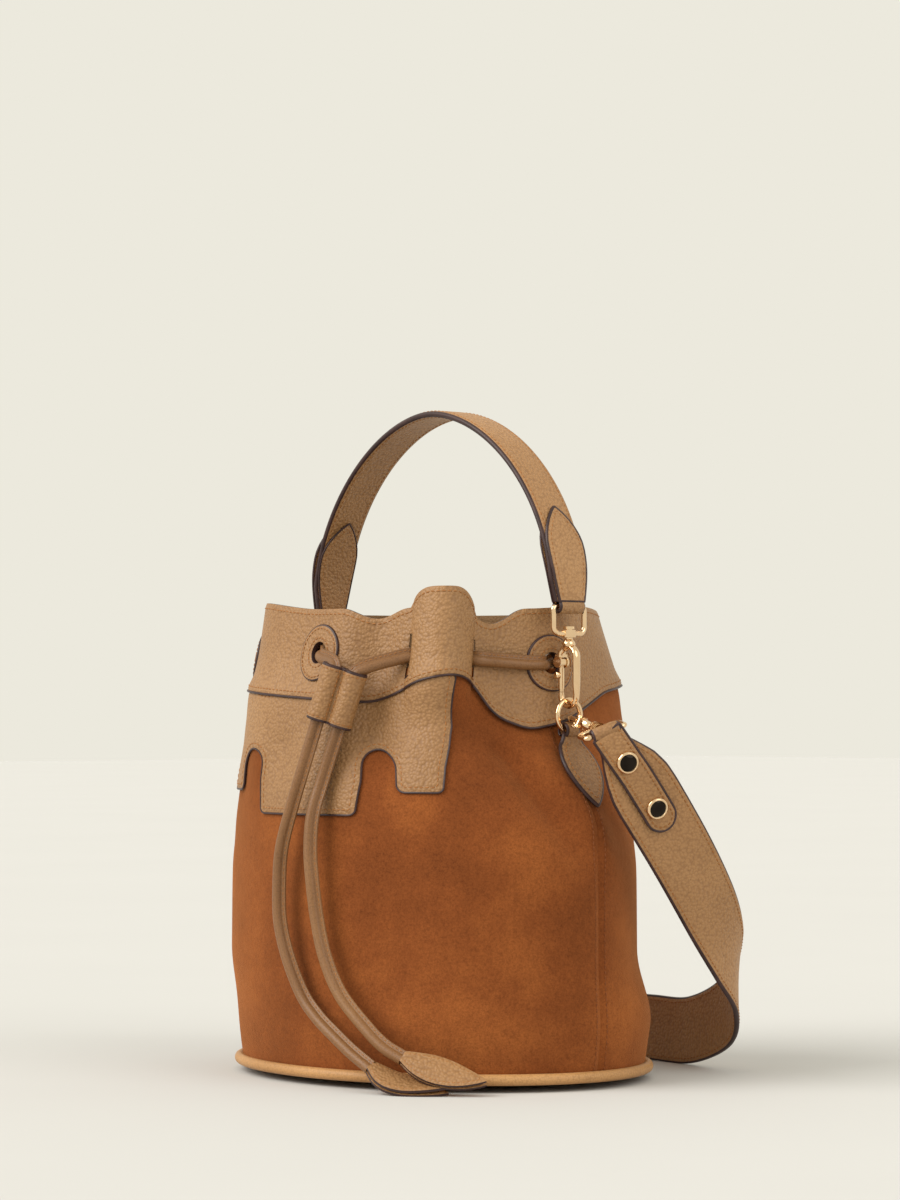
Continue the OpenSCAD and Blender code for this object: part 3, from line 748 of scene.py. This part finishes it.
def make_eyelets():
    """Crowned leather rings round the eyelets, outside and inside, with two rows of stitches."""
    angles = np.linspace(0, 2 * np.pi, 72, endpoint=False)
    radii = [6.1, 6.0, 6.3, 7.2, 10, 13, 15.4, 16.1, 16.3, 16.2]
    heights = [-2.6, 1.0, 1.5, 1.75, 1.8, 1.75, 1.6, 1.3, 0.8, -0.2]
    verts, faces, ids, lines = [], [], [], []
    for t, z in EYELETS:
        centre = signed(t) * MM_PER_DEG
        for side in (1, -1):
            base = len(verts)
            grid = []
            for r, h in zip(radii, heights):
                uv = np.stack([centre + r * np.cos(angles), z + r * np.sin(angles)], axis=1)
                uv[:, 1] = np.minimum(uv[:, 1], rim(uv[:, 0] / MM_PER_DEG) - 0.8)
                grid.append(wall_uv(0)(uv, 3.3 + h if side > 0 else 0.9 - h))
            verts += [v for ring in grid for v in ring]
            f = grid_faces(len(radii), len(angles), False, True)
            faces += [tuple(base + k for k in q) for q in f]
            edge_rows = (0, 1, 6, 7, 8)
            ids += [1 if row in edge_rows else 0 for row in range(len(radii) - 1) for _ in angles]
            if side > 0:
                for r in (8.4, 14.0):
                    uv = np.stack([centre + r * np.cos(angles), z + r * np.sin(angles)], axis=1)
                    lines.append(wall_uv(0)(np.vstack([uv, uv[:2]]), 5.2))
    obj = new_object("eyelet_leather_rings", verts, faces, [LEATHER, EDGE], ids)
    add(obj, "bag", "leather", "eyelet_rings")
    add(stitch_mesh("eyelet_stitches", lines, THREAD, 2.7, 1.9, 0.32), "bag", "leather")


def yoke_outline():
    """Front yoke with two arched notches, in millimetres round the wall and height, symmetric about u = 0."""
    def arc(cx, cz, rx, rz, a0, a1, n=12):
        return [(cx + rx * math.cos(math.radians(a)), cz + rz * math.sin(math.radians(a)))
                for a in np.linspace(a0, a1, n)]
    leg_in, leg_out, low, tip = 32, 78.5, 153, 166
    half = []
    half += [(0, low), (leg_in - 4, low)]
    half += arc(leg_in - 4, low + 4, 4, 4, -90, 0, 6)
    half += [(leg_in + 3, 172)]
    half += arc(45.5, 180, 10, 10, 180, 0, 14)
    half += [(leg_out - 24, tip + 4)]
    half += arc(leg_out - 20, tip + 4, 4, 4, 180, 270, 6)
    half += [(leg_out - 4, tip)]
    half += arc(leg_out - 4, tip + 4, 4, 4, -90, 0, 6)
    half += [(leg_out + 3, 180), (leg_out + 8.5, 192), (leg_out + 12.5, 203), (leg_out + 15, JOIN_Z + 8)]
    top = [(u, float(hem(u / MM_PER_DEG)) + 6) for u in np.arange(leg_out + 11, 1, -4)]
    right = half + top
    left = [(-u, v) for u, v in right[::-1] if u > 0.5]
    return right + left


def make_yoke():
    outline = yoke_outline()

    def place(uv, off):
        t = uv[:, 0] / MM_PER_DEG
        return wall(t, uv[:, 1], off + suede_off(t, uv[:, 1]) * 0.8)
    obj = panel("front_yoke_piece", outline, place, 1.6, [LEATHER, EDGE], cell=1.5, off=1.9)
    add(obj, "bag", "leather", "front_yoke")
    add(painted_edge("yoke_edge", outline, place, 2.9, 0.65), "bag", "leather")
    line = inset(outline, 3.0)
    line = line[line[:, 1] < hem(line[:, 0] / MM_PER_DEG) - 1]
    add(stitch_mesh("yoke_stitches", [place(line, 3.5)], THREAD), "bag", "leather")


# ---------------------------------------------------------------- cords, tips and slider
def cord_profile():
    """A rolled cord with its stitched flange: a round core and a flat fin."""
    core = [(-1.1 + 3.0 * math.cos(a), 3.0 * math.sin(a)) for a in np.radians(np.linspace(18, 342, 18))]
    fin = [(2.2, -0.75), (4.1, -0.72), (4.4, 0), (4.1, 0.72), (2.2, 0.75)]
    return core + fin



def make_run():
    stops = [wall(t, z, off - float(tab(t, z))) for t, off, z in RUN_STOPS]
    first = [EXIT_RIGHT, (35.55, -102.8, 217.9), (39.9, -100.3, 233.6)]
    last = [(28.9, -106.8, 237.8), (24.45, -109.2, 222.1), EXIT_LEFT]
    path = np.vstack([first, stops, last])
    path = even(spline(path, 6), 2.0)
    out = unit(path * (1, 1, 0))
    add(sweep("drawcord_run", path, out, cord_profile(), [CORD_LEATHER]), "bag",
        "cord_leather", "drawcord")
    side = unit(np.cross(out, tangents(path)))
    lines = [path + side * 2.9 + out * s for s in (0.75, -0.75)]
    add(stitch_mesh("drawcord_run_stitches", lines, THREAD, 2.9, 2.0, 0.28), "bag", "cord_leather")


def leaf_outline(length, width, neck, fat=0.42, n=14):
    """A leaf from a neck at u = 0 to a point at u = length."""
    top = []
    for u in np.linspace(0, length, n):
        f = u / length
        w = neck / 2 + (width - neck) / 2 * math.sin(math.pi / 2 * min(1, f / fat))
        if f > fat:
            w = width / 2 * math.cos(math.pi / 2 * (f - fat) / (1 - fat)) ** 0.85
        top.append((u, w))
    return top + [(u, -w) for u, w in top[::-1] if w > 0.05]


def along(path, hints, crown=0.0, width=20.0):
    """Place function: u runs along the path, v to its side, and the sheet bulges by crown in the middle."""
    p = np.asarray(path, float)
    s = np.concatenate([[0], np.cumsum(np.linalg.norm(np.diff(p, axis=0), axis=1))])
    t = tangents(p)
    side = unit(np.cross(hints, t))
    out = np.cross(t, side)

    def place(uv, off):
        u = np.clip(uv[:, 0], 0, s[-1])
        over = (uv[:, 0] - u)[:, None]

        def at(a):
            return np.stack([np.interp(u, s, a[:, k]) for k in range(3)], axis=1)
        lift = np.asarray(off, float) + crown * (1 - np.clip(2 * np.abs(uv[:, 1]) / width, 0, 1) ** 2)
        return at(p) + at(t) * over + at(side) * uv[:, 1:2] + at(out) * np.reshape(lift, (-1, 1))
    return place


def make_tip(name, route, hint):
    path = even(spline(route, 6), 1.0)
    hints = np.tile(np.asarray(hint, float), (len(path), 1))
    outline = leaf_outline(50, 18, 7)
    halves = []
    for face, crown, off in (("top", 1.0, 0.1), ("under", -0.5, -2.0)):
        place = along(path, hints, crown, 20)
        halves.append(panel(f"{name}_{face}", outline, place, 1.9, [LEATHER, EDGE], cell=1.2, off=off, roll=0.3))
    line = inset(outline, 1.9, 0.5)
    line = line[line[:, 0] > 3]
    upper = along(path, hints, 1.0, 20)
    stitches = stitch_mesh(f"{name}_stitches", [upper(line, 1.9)], THREAD, 2.7, 1.9, 0.28)
    for piece in (*halves, stitches):
        add(piece, "bag", "leather")
    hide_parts(name)
    return [*halves, stitches]


def make_cord_end(name, start, route):
    path = even(spline([start, *route], 8), 2.0)
    hint = np.tile(unit(np.array([0.35, -0.9, 0.25])), (len(path), 1))
    obj = sweep(name + "_piece", path, hint, cord_profile(), [CORD_LEATHER])
    add(obj, "bag", "cord_leather", name)
    side = unit(np.cross(hint, tangents(path)))
    o = np.cross(tangents(path), side)
    lines = [path + side * 2.9 + o * s for s in (0.75, -0.75)]
    add(stitch_mesh(name + "_stitches", lines, THREAD, 2.9, 2.0, 0.28), "bag", "cord_leather")


SLIDER_C = np.array([30, -106, 220.0])
SLIDER_YAW, SLIDER_TILT = math.radians(30), math.radians(18)
SLIDER_L, BARREL_D = 33, 13.4


def make_slider():
    """Leather wrapped round both cords as two barrels, stitched along the middle and round both ends."""
    cy, sy, ct, st = math.cos(SLIDER_YAW), math.sin(SLIDER_YAW), math.cos(SLIDER_TILT), math.sin(SLIDER_TILT)
    u = np.array([cy * ct, sy * ct, -st])
    down = np.array([-st * cy, -st * sy, -ct])
    f = np.cross(u, down)
    f = f if f @ np.array([0.5, -0.87, 0]) > 0 else -f
    r, bore, pinch = BARREL_D / 2 + 0.1, 4.35, 0.42
    a0 = math.asin(pinch)
    right = [(r + r * math.cos(a), r * math.sin(a)) for a in np.linspace(math.pi - a0, -math.pi + a0, 30)]
    left = [(-x, -y) for x, y in right]
    outer = np.array(right + left)
    verts, faces, ids = [], [], []
    levels = [(-0.5, 0.5), (-0.49, 0.05), (-0.455, 0), (-0.2, 0.2)]
    levels += [(-lv, shrink) for lv, shrink in levels[::-1]]
    for lv, shrink in levels:
        for x, y in outer:
            cx = math.copysign(r, x)
            d = np.array([x - cx, y])
            d = d * (1 - shrink / r)
            verts.append(SLIDER_C + u * (cx + d[0]) + f * d[1] + down * lv * SLIDER_L)
    m = len(outer)
    fs = grid_faces(len(levels), m, False, True)
    faces += fs
    last_row = len(levels) - 2
    ids += [int(row in (0, 1, last_row - 1, last_row)) for row in range(last_row + 1) for _ in range(m)]
    for lv in (-0.5, 0.5):
        for sgn in (1, -1):
            base = len(verts)
            hole = [(sgn * r + x, y) for x, y in oval(bore, bore, 30)]
            verts += [SLIDER_C + u * x + f * y + down * lv * SLIDER_L for x, y in hole]
            verts += [SLIDER_C + u * x + f * y + down * lv * 0.8 * SLIDER_L for x, y in hole]
            rim_pts = [(sgn * r + x, y) for x, y in oval(r - 0.35, r - 0.35, 30)]
            verts += [SLIDER_C + u * x + f * y + down * lv * SLIDER_L for x, y in rim_pts]
            for k in range(30):
                n = (k + 1) % 30
                faces.append((base + 60 + k, base + 60 + n, base + n, base + k))
                faces.append((base + k, base + n, base + 30 + n, base + 30 + k))
                ids += [1, 0]
    obj = new_object("slider_barrels", verts, faces, [LEATHER, EDGE], ids, 50)
    add(obj, "slider", "leather", "cord_slider")
    lines = []
    for lv in (-0.42, 0.42):
        for sgn, a0, a1 in ((1, 0.1, 2.3), (-1, 0.9, 3.05)):
            lines.append([SLIDER_C + u * (sgn * r + (r + 0.1) * math.cos(a)) + f * (r + 0.1) * math.sin(a)
                          + down * lv * SLIDER_L for a in np.linspace(a0, a1, 24)])
    for sgn in (1, -1):
        lines.append([SLIDER_C + u * sgn * 1.3 + f * (r * pinch + 1.2) + down * lv * SLIDER_L
                      for lv in np.linspace(-0.42, 0.42, 30)])
    add(stitch_mesh("slider_stitches", lines, THREAD, 2.8, 2.0, 0.3), "slider", "leather")


# ---------------------------------------------------------------- rings, chapes, handle and strap
RING = np.array([105, 3, 209.0])
SHANK = 62
WIRE_R = 1.75
STRAP_T, STRAP_WIDE, HANDLE_T, HANDLE_WIDE = 3, 39, 3.2, 27


def mirrored(points, s):
    return np.asarray(points, float) * (s, 1, 1)


def turned_bar(centre, bar, away, radius, a0, a1, n=22):
    """Path of a leather fold round a bar: from angle a0 to a1 in the plane across the bar, 90 being away."""
    bar, away = unit(bar), unit(away)
    x = np.cross(bar, away)
    a = np.radians(np.linspace(a0, a1, n))[:, None]
    out = x * np.cos(a) + away * np.sin(a)
    return np.asarray(centre) + radius * out, out


def fold_piece(name, centre, bar, away, radius, a0, a1, width, thick, s, body):
    path, out = turned_bar(centre, bar, away, radius, a0, a1)
    prof, ids = strap_profile(width, thick, 0.2, 6)
    add(sweep(name, mirrored(path, s), mirrored(out, s), prof, [LEATHER, EDGE], ids), body, "leather")


def make_chape(side, s):
    zs = np.linspace(198, 154, 40)
    path = mirrored(wall(np.full(40, 92.0), zs, 2.6 + 3 * rise(zs, 190, 198)), s)
    hints = np.tile(np.array([0.85 * s, 0.05, 0.5]), (40, 1))
    outline = leaf_outline(47, 26, 10, 0.45)
    place = along(path, hints, 0.6, 26)
    obj = panel(f"chape_leaf_{side}", outline, place, 3.4, [LEATHER, EDGE], cell=1.4, off=0.0, roll=0.5)
    add(obj, "bag", "leather", f"chape_{side}")
    add(painted_edge(f"chape_edge_{side}", outline, place, 1.9, 1.25), "bag", "leather")
    edge_stitches(f"chape_stitches_{side}", outline, place, 2.6, 6, 3.5, "bag")
    fold_piece(f"chape_fold_{side}", RING + (0, 0, -8.4), (0, 1, 0), (0, 0, 1), 3.7, 230, -60, 9.5, 1.7, s, "bag")


def handle_path():
    q = np.radians(np.arange(0, 90.1, 1.5))
    arch_a, spring, top = 104, 279, 386
    heights = spring + (top - spring) * np.sin(q) ** 1.11
    right = np.stack([arch_a * np.cos(q) ** 1.11, np.full(len(q), 3.0), heights], axis=1)
    right = np.vstack([[(104.6, 3, 273.5)], right])
    return np.vstack([right, (right * (-1, 1, 1))[-2::-1]])


def make_handle():
    path = even(spline(even(handle_path(), 9), 5), 2.2)
    t = tangents(path)
    out = np.stack([t[:, 2], np.zeros(len(t)), -t[:, 0]], axis=1)
    s = np.linspace(0, 1, len(path))
    ends = np.minimum(s, 1 - s) * len(path) * 2.2
    widths = np.interp(ends, [0, 4, 14], [0.78, 0.85, 1])
    prof, ids = strap_profile(HANDLE_WIDE, HANDLE_T, 0.7, 14)
    # The handle uses the lighter copy of the leather: painted light.
    obj = sweep("handle_band", path, out, prof, [LIT_STRAP_LEATHER, EDGE], ids, side_only(widths))
    add(obj, "handle", "leather", "handle_strap")
    side = unit(np.cross(out, t))
    lines = []
    for v in (-1, 1):
        for o in (HANDLE_T / 2 + 0.38, -HANDLE_T / 2 - 0.12):
            lines.append(path + side * v * (HANDLE_WIDE / 2 - 2.7) * widths[:, None] + out * o)
    add(stitch_mesh("handle_stitches", lines, THREAD), "handle", "leather")
    half = path[:40]
    for name, sgn in (("right", 1), ("left", -1)):
        p, o = mirrored(half, sgn), mirrored(out[:40], sgn)
        outline = leaf_outline(56, 27.5, 19, 0.55)
        for k, (off, thick, hint) in enumerate(((HANDLE_T / 2 + 0.1, 2.0, 1), (HANDLE_T / 2 + 0.1, 1.4, -1))):
            place = along(p, o * hint, 0.5, 28)
            leaf = panel(f"handle_leaf_{name}_{('outer', 'inner')[k]}", outline, place, thick,
                         [LIT_STRAP_LEATHER, EDGE], cell=1.5, off=off)
            add(leaf, "handle", "leather")
            if k == 0:
                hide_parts(f"handle_leaf_{name}")
            edge = painted_edge(f"handle_leaf_edge_{name}_{k}", outline, place, off + thick * 0.55, thick * 0.45)
            add(edge, "handle", "leather")
            edge_stitches(f"handle_leaf_stitches_{name}_{k}", outline, place, 2.6, 4, off + thick - 0.1, "handle")
        bar = RING + (0, 0, SHANK)
        fold_piece(f"handle_fold_{name}", bar, (0, 1, 0), (0, 0, -1), 3.0, -35, 215, 19, 2.2, sgn, "handle")


STRAP_ROUTE = [(151.5, -12, 198), (154.5, -2.5, 185), (156, 10, 170), (155, 43, 131), (148, 75, 96),
               (138, 100, 70), (124, 119, 51), (102, 132, 33), (66, 141, 21), (30, 146, 20), (0, 147, 20)]
STRAP_FACES = [(0.74, -0.67, 0.2), (0.76, -0.65, 0.15), (0.8, -0.6, 0.1), (0.86, -0.5, 0.1),
               (0.93, -0.35, 0.15), (0.98, 0, 0.2), (0.85, 0.5, 0.2), (0.5, 0.86, 0.1), (0.2, 0.98, 0),
               (0.05, 1, 0), (0, 1, 0)]
STRAP_DIR = unit([0.880, -0.465, -0.1])
STRAP_CONTACT = RING + 9 * np.array([0, math.cos(math.radians(-25)), math.sin(math.radians(-25))])
STRAP_ORIGIN = STRAP_CONTACT - 9 * STRAP_DIR
STRAP_BAR_DIR = np.array([0.4, 0.85, 0.34])
STRAP_BAR_DIR = unit(STRAP_BAR_DIR - (STRAP_BAR_DIR @ STRAP_DIR) * STRAP_DIR)


def make_strap():
    half, faces = spline(STRAP_ROUTE, 14), spline(STRAP_FACES, 14)
    path = np.vstack([half, (half * (-1, 1, 1))[-2::-1]])
    out = np.vstack([faces, (faces * (-1, 1, 1))[-2::-1]])
    both = even(np.hstack([path, out]), 3)
    path, out = both[:, :3], unit(both[:, 3:])
    t = tangents(path)
    s = np.concatenate([[0], np.cumsum(np.linalg.norm(np.diff(path, axis=0), axis=1))])
    ends = np.minimum(s, s[-1] - s)
    widths = np.interp(ends, [0, 8, 16, 24, 34, 44], [16, 19, 27, 33.5, 38, STRAP_WIDE]) / STRAP_WIDE
    prof, ids = strap_profile(STRAP_WIDE, STRAP_T, 0.35, 16)
    # The strap uses the lighter copy of the leather: painted light.
    obj = sweep("shoulder_strap_band", path, out, prof, [LIT_STRAP_LEATHER, EDGE], ids, side_only(widths))
    add(obj, "strap", "leather", "shoulder_strap")
    side = unit(np.cross(out, t))
    o = np.cross(t, side)
    inner = (STRAP_WIDE / 2 - 2.8 / np.maximum(widths, 0.4)) * widths
    lines = [path + side * (v * inner)[:, None] + o * h for v in (-1, 1)
             for h in (STRAP_T / 2 + 0.2, -STRAP_T / 2 - 0.05)]
    add(stitch_mesh("strap_stitches", lines, THREAD), "strap", "leather")
    count = int(np.searchsorted(s, 90))
    for name, sgn in (("right", 1), ("left", -1)):
        p, h = mirrored(path[:count], sgn), mirrored(o[:count], sgn)
        make_tongue(name, sgn, p, h)


def make_tongue(name, sgn, path, out):
    length, w = 66, 17.5
    r = w / 2
    end = [(length - r + r * math.cos(a), r * math.sin(a)) for a in np.linspace(math.pi / 2, -math.pi / 2, 14)]
    outline = [(-2.5, w / 2), *end, (-2.5, -w / 2)]
    place = along(path, out, 0.6, w)
    off = STRAP_T / 2 + 0.35
    obj = panel(f"strap_tongue_{name}_piece", outline, place, 2.3, [LIT_STRAP_LEATHER, EDGE], cell=1.3, off=off)
    add(obj, "strap", "leather", f"strap_tongue_{name}")
    add(painted_edge(f"strap_tongue_edge_{name}", outline, place, off + 1.3, 1.0), "strap", "leather")
    edge_stitches(f"strap_tongue_stitches_{name}", outline, place, 2.3, 0, off + 2.6, "strap")
    for k, u in enumerate((18, 51)):
        base = place(np.array([[u, 0.0]]), off + 2.2)[0]
        top = place(np.array([[u, 0.0]]), off + 6.2)[0]
        make_snap(f"strap_snap_{name}_{k + 1}", base, unit(top - base))
    up = np.array([-3, -9.5, 13.0])
    up = unit(up - (up @ STRAP_BAR_DIR) * STRAP_BAR_DIR)
    bar = STRAP_ORIGIN + SHANK * STRAP_DIR
    fold_piece(f"strap_fold_{name}", bar, STRAP_BAR_DIR, up, 3.0, -35, 215, 16.5, 2.2, sgn, "strap")


def make_snap(name, base, axis):
    """A domed snap cap: rolled gold rim round a dished centre in dark metal, a painted dark reflection of the
    polished dome.
    """
    prof = [(6.3, -0.4), (6.5, 0.6), (6.2, 1.5), (5.6, 1.95), (5.0, 1.9), (4.7, 1.5), (4.2, 1.75), (3.0, 2.15),
            (1.6, 2.35), (0.05, 2.4)]
    x = unit(np.cross(axis, (0.2, 0.1, 0.97)))
    y = np.cross(axis, x)
    n = 40
    verts = [base + (x * math.cos(a) + y * math.sin(a)) * r + axis * h for r, h in prof
             for a in np.linspace(0, 2 * np.pi, n, False)]
    faces = grid_faces(len(prof), n, False, True)
    ids = [0 if row < 5 else 1 for row in range(len(prof) - 1) for _ in range(n)]
    obj = new_object(name, verts, faces, [GOLD, SNAP_PAINTED_REFLECTION], ids)
    add(obj, "strap", "gold")


def lathe(name, place, rows, n=28):
    """A turned piece: rows of (radius, height) about the local z axis, laid by place(local xyz)."""
    angles = np.linspace(0, 2 * np.pi, n, endpoint=False)
    local = np.array([(r * math.cos(a), r * math.sin(a), h) for r, h in rows for a in angles])
    return new_object(name, place(local), grid_faces(len(rows), n, False, True), [GOLD], None, 50)


def dress_hook(kind, side, s, origin, y, z):
    """Flattens and thickens the hook's wire, and gives it its swivel bead, gate sleeve and thumb knob."""
    x = np.cross(y, z)

    def place(v):
        v = np.asarray(v, float)
        return (origin + v[:, 0:1] * x + v[:, 1:2] * y + v[:, 2:3] * z) * (s, 1, 1)
    low, high, half = 11.7, 33.0, 6.2
    turn = np.radians(np.linspace(180, 360, 20))
    bow = [(half * math.cos(a), 0, low + half * math.sin(a)) for a in turn]
    spine = [(half, 0, v) for v in np.linspace(low + 1.5, high - 1, 14)]
    crown = [(half * math.cos(a), 0, high + half * math.sin(a)) for a in np.radians(np.linspace(0, 165, 18))]
    path = np.array(bow + spine + crown)
    t = tangents(path)
    out = np.stack([t[:, 2], np.zeros(len(t)), -t[:, 0]], axis=1)
    broad = np.interp(path[:, 2], [low, low + 6, high + 3, high + 6], [0.72, 1, 1, 0.85])
    broad[:len(bow)] = np.linspace(0.68, 0.72, len(bow))
    world = place(path)
    outward = place(path + out) - world
    body = f"{kind}_hook_{side}"
    casting = sweep(f"{body}_casting", world, outward, oval(2.6, WIRE_R, 18), [GOLD], scale=side_only(broad))
    add(casting, body, "gold")
    bead = [(0.1, 38.4), (2.6, 38.5), (3.5, 39.4), (3.8, 40.6), (3.5, 41.8), (2.7, 42.7), (2.45, 43.4), (0.1, 43.5)]
    add(lathe(f"{body}_bead", place, bead), body, "gold")
    gate = f"{kind}_gate_{side}"
    sleeve = np.array([(-half, 0, v) for v in (15.2, 15.6, 20, 26.4, 26.8)])
    across = place(sleeve + (1, 0, 0)) - place(sleeve)
    add(sweep(f"{gate}_sleeve", place(sleeve), across, oval(WIRE_R, WIRE_R, 16), [GOLD]), gate, "gold")
    knob = [(0.1, 4.6), (1.5, 4.5), (2.0, 4.0), (2.0, 3.4), (1.2, 2.9), (1.1, 1.2), (0.1, 1.1)]

    def place_knob(v):
        return place(np.stack([v[:, 0] - half, -v[:, 2], v[:, 1] + 23], axis=1))
    add(lathe(f"{gate}_knob", place_knob, knob, 20), gate, "gold")


def make_hooks():
    wire = np.array([0, -math.sin(math.radians(-25)), math.cos(math.radians(-25))])
    across = unit(wire - (wire @ STRAP_DIR) * STRAP_DIR)
    for side, s in (("right", 1), ("left", -1)):
        dress_hook("handle", side, s, RING, np.array([0, 1.0, 0]), np.array([0, 0, 1.0]))
        dress_hook("strap", side, s, STRAP_ORIGIN, across, STRAP_DIR)


# Dark polished metal for the snap centres: a painted dark reflection of the polished domes, not a dark part of the
# snap.
def make_painted_reflection_metal():
    mat, nodes, links, bsdf = material("painted_dark_reflection")
    vec = coords(nodes, links)
    links.new(two_tone(nodes, links, vec, 90, srgb(30, 25, 22), srgb(48, 41, 36)), bsdf.inputs["Base Color"])
    bsdf.inputs["Metallic"].default_value = 1
    bsdf.inputs["Roughness"].default_value = 0.12
    return mat


# Painted dark reflection for the middle of the snap domes.
SNAP_PAINTED_REFLECTION = make_painted_reflection_metal()


def finish_cad_nodes():
    """The wire hardware and the flat base pieces keep their CAD shapes and get real materials."""
    metal = [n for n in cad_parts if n.startswith("ring_") or "hook" in n or "gate" in n or "loop" in n]
    for n in metal:
        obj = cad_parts[n]
        obj.data.materials.clear()
        obj.data.materials.append(GOLD)
    for n, mat in (("base_panel", LEATHER), ("base_board", BOARD), ("base_feet", LEATHER)):
        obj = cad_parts[n]
        obj.data.materials.clear()
        obj.data.materials.append(mat)


# ---------------------------------------------------------------- room
def make_stage():
    mat, nodes, links, bsdf = material("pale_paper")
    vec = coords(nodes, links)
    tone = ramp(nodes, links, noise(nodes, links, vec, 3), [(0.2, srgb(201, 200, 197)), (0.8, srgb(203, 202, 199))])
    links.new(tone, bsdf.inputs["Base Color"])
    bsdf.inputs["Roughness"].default_value = 0.9
    bsdf.inputs["Specular IOR Level"].default_value = 0.1
    size = 12.0
    mesh = bpy.data.meshes.new("floor")
    corners = [(x * size, y * size, 0) for x, y in ((-1, -1), (1, -1), (1, 1), (-1, 1))]
    mesh.from_pydata(corners, [], [(0, 1, 2, 3)])
    floor = bpy.data.objects.new("floor", mesh)
    bpy.context.scene.collection.objects.link(floor)
    mesh.materials.append(mat)


def sun(name, place, power, angle, colour=(1, 1, 1)):
    data = bpy.data.lights.new(name, "SUN")
    data.energy = power
    data.angle = math.radians(angle)
    data.color = colour
    obj = bpy.data.objects.new(name, data)
    bpy.context.scene.collection.objects.link(obj)
    obj.rotation_euler = (-Vector(place)).to_track_quat("-Z", "Y").to_euler()


def make_light():
    world = bpy.data.worlds.new("studio")
    bpy.context.scene.world = world
    world.use_nodes = True
    back = world.node_tree.nodes["Background"]
    back.inputs["Color"].default_value = (*srgb(236, 233, 221), 1)
    back.inputs["Strength"].default_value = 1.0
    key = TOWARD * 0.7 - RIGHT * 1.6
    sun("key", (key[0], key[1], 1.3), 2.6, 45, (1, 0.985, 0.96))
    fill = TOWARD * 1.2 + RIGHT * 1.2
    sun("fill", (fill[0], fill[1], 1.0), 0.8, 45, (1, 0.99, 0.97))
    bpy.context.scene.view_settings.view_transform = "Standard"


def main():
    make_camera()
    tips_left = make_tip("cord_tip_left", TIP_LEFT_ROUTE, (0.1, -0.35, 0.93))
    tips_right = make_tip("cord_tip_right", TIP_RIGHT_ROUTE, (0.35, -0.62, 0.7))
    make_cord_end("drawcord_end_left", EXIT_LEFT, LEFT_ROUTE)
    make_cord_end("drawcord_end_right", EXIT_RIGHT, RIGHT_ROUTE)
    make_run()
    suede_panel("suede_front", -90, 90, "suede_front_panel")
    suede_panel("suede_back", 90, 270, "suede_back_panel")
    suede_seams()
    make_lining_piece()
    make_piping()
    make_collar()
    make_eyelets()
    make_yoke()
    make_slider()
    make_chape("right", 1)
    make_chape("left", -1)
    make_handle()
    make_strap()
    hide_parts("strap_snaps")
    make_hooks()
    finish_cad_nodes()
    make_stage()
    make_light()


main()
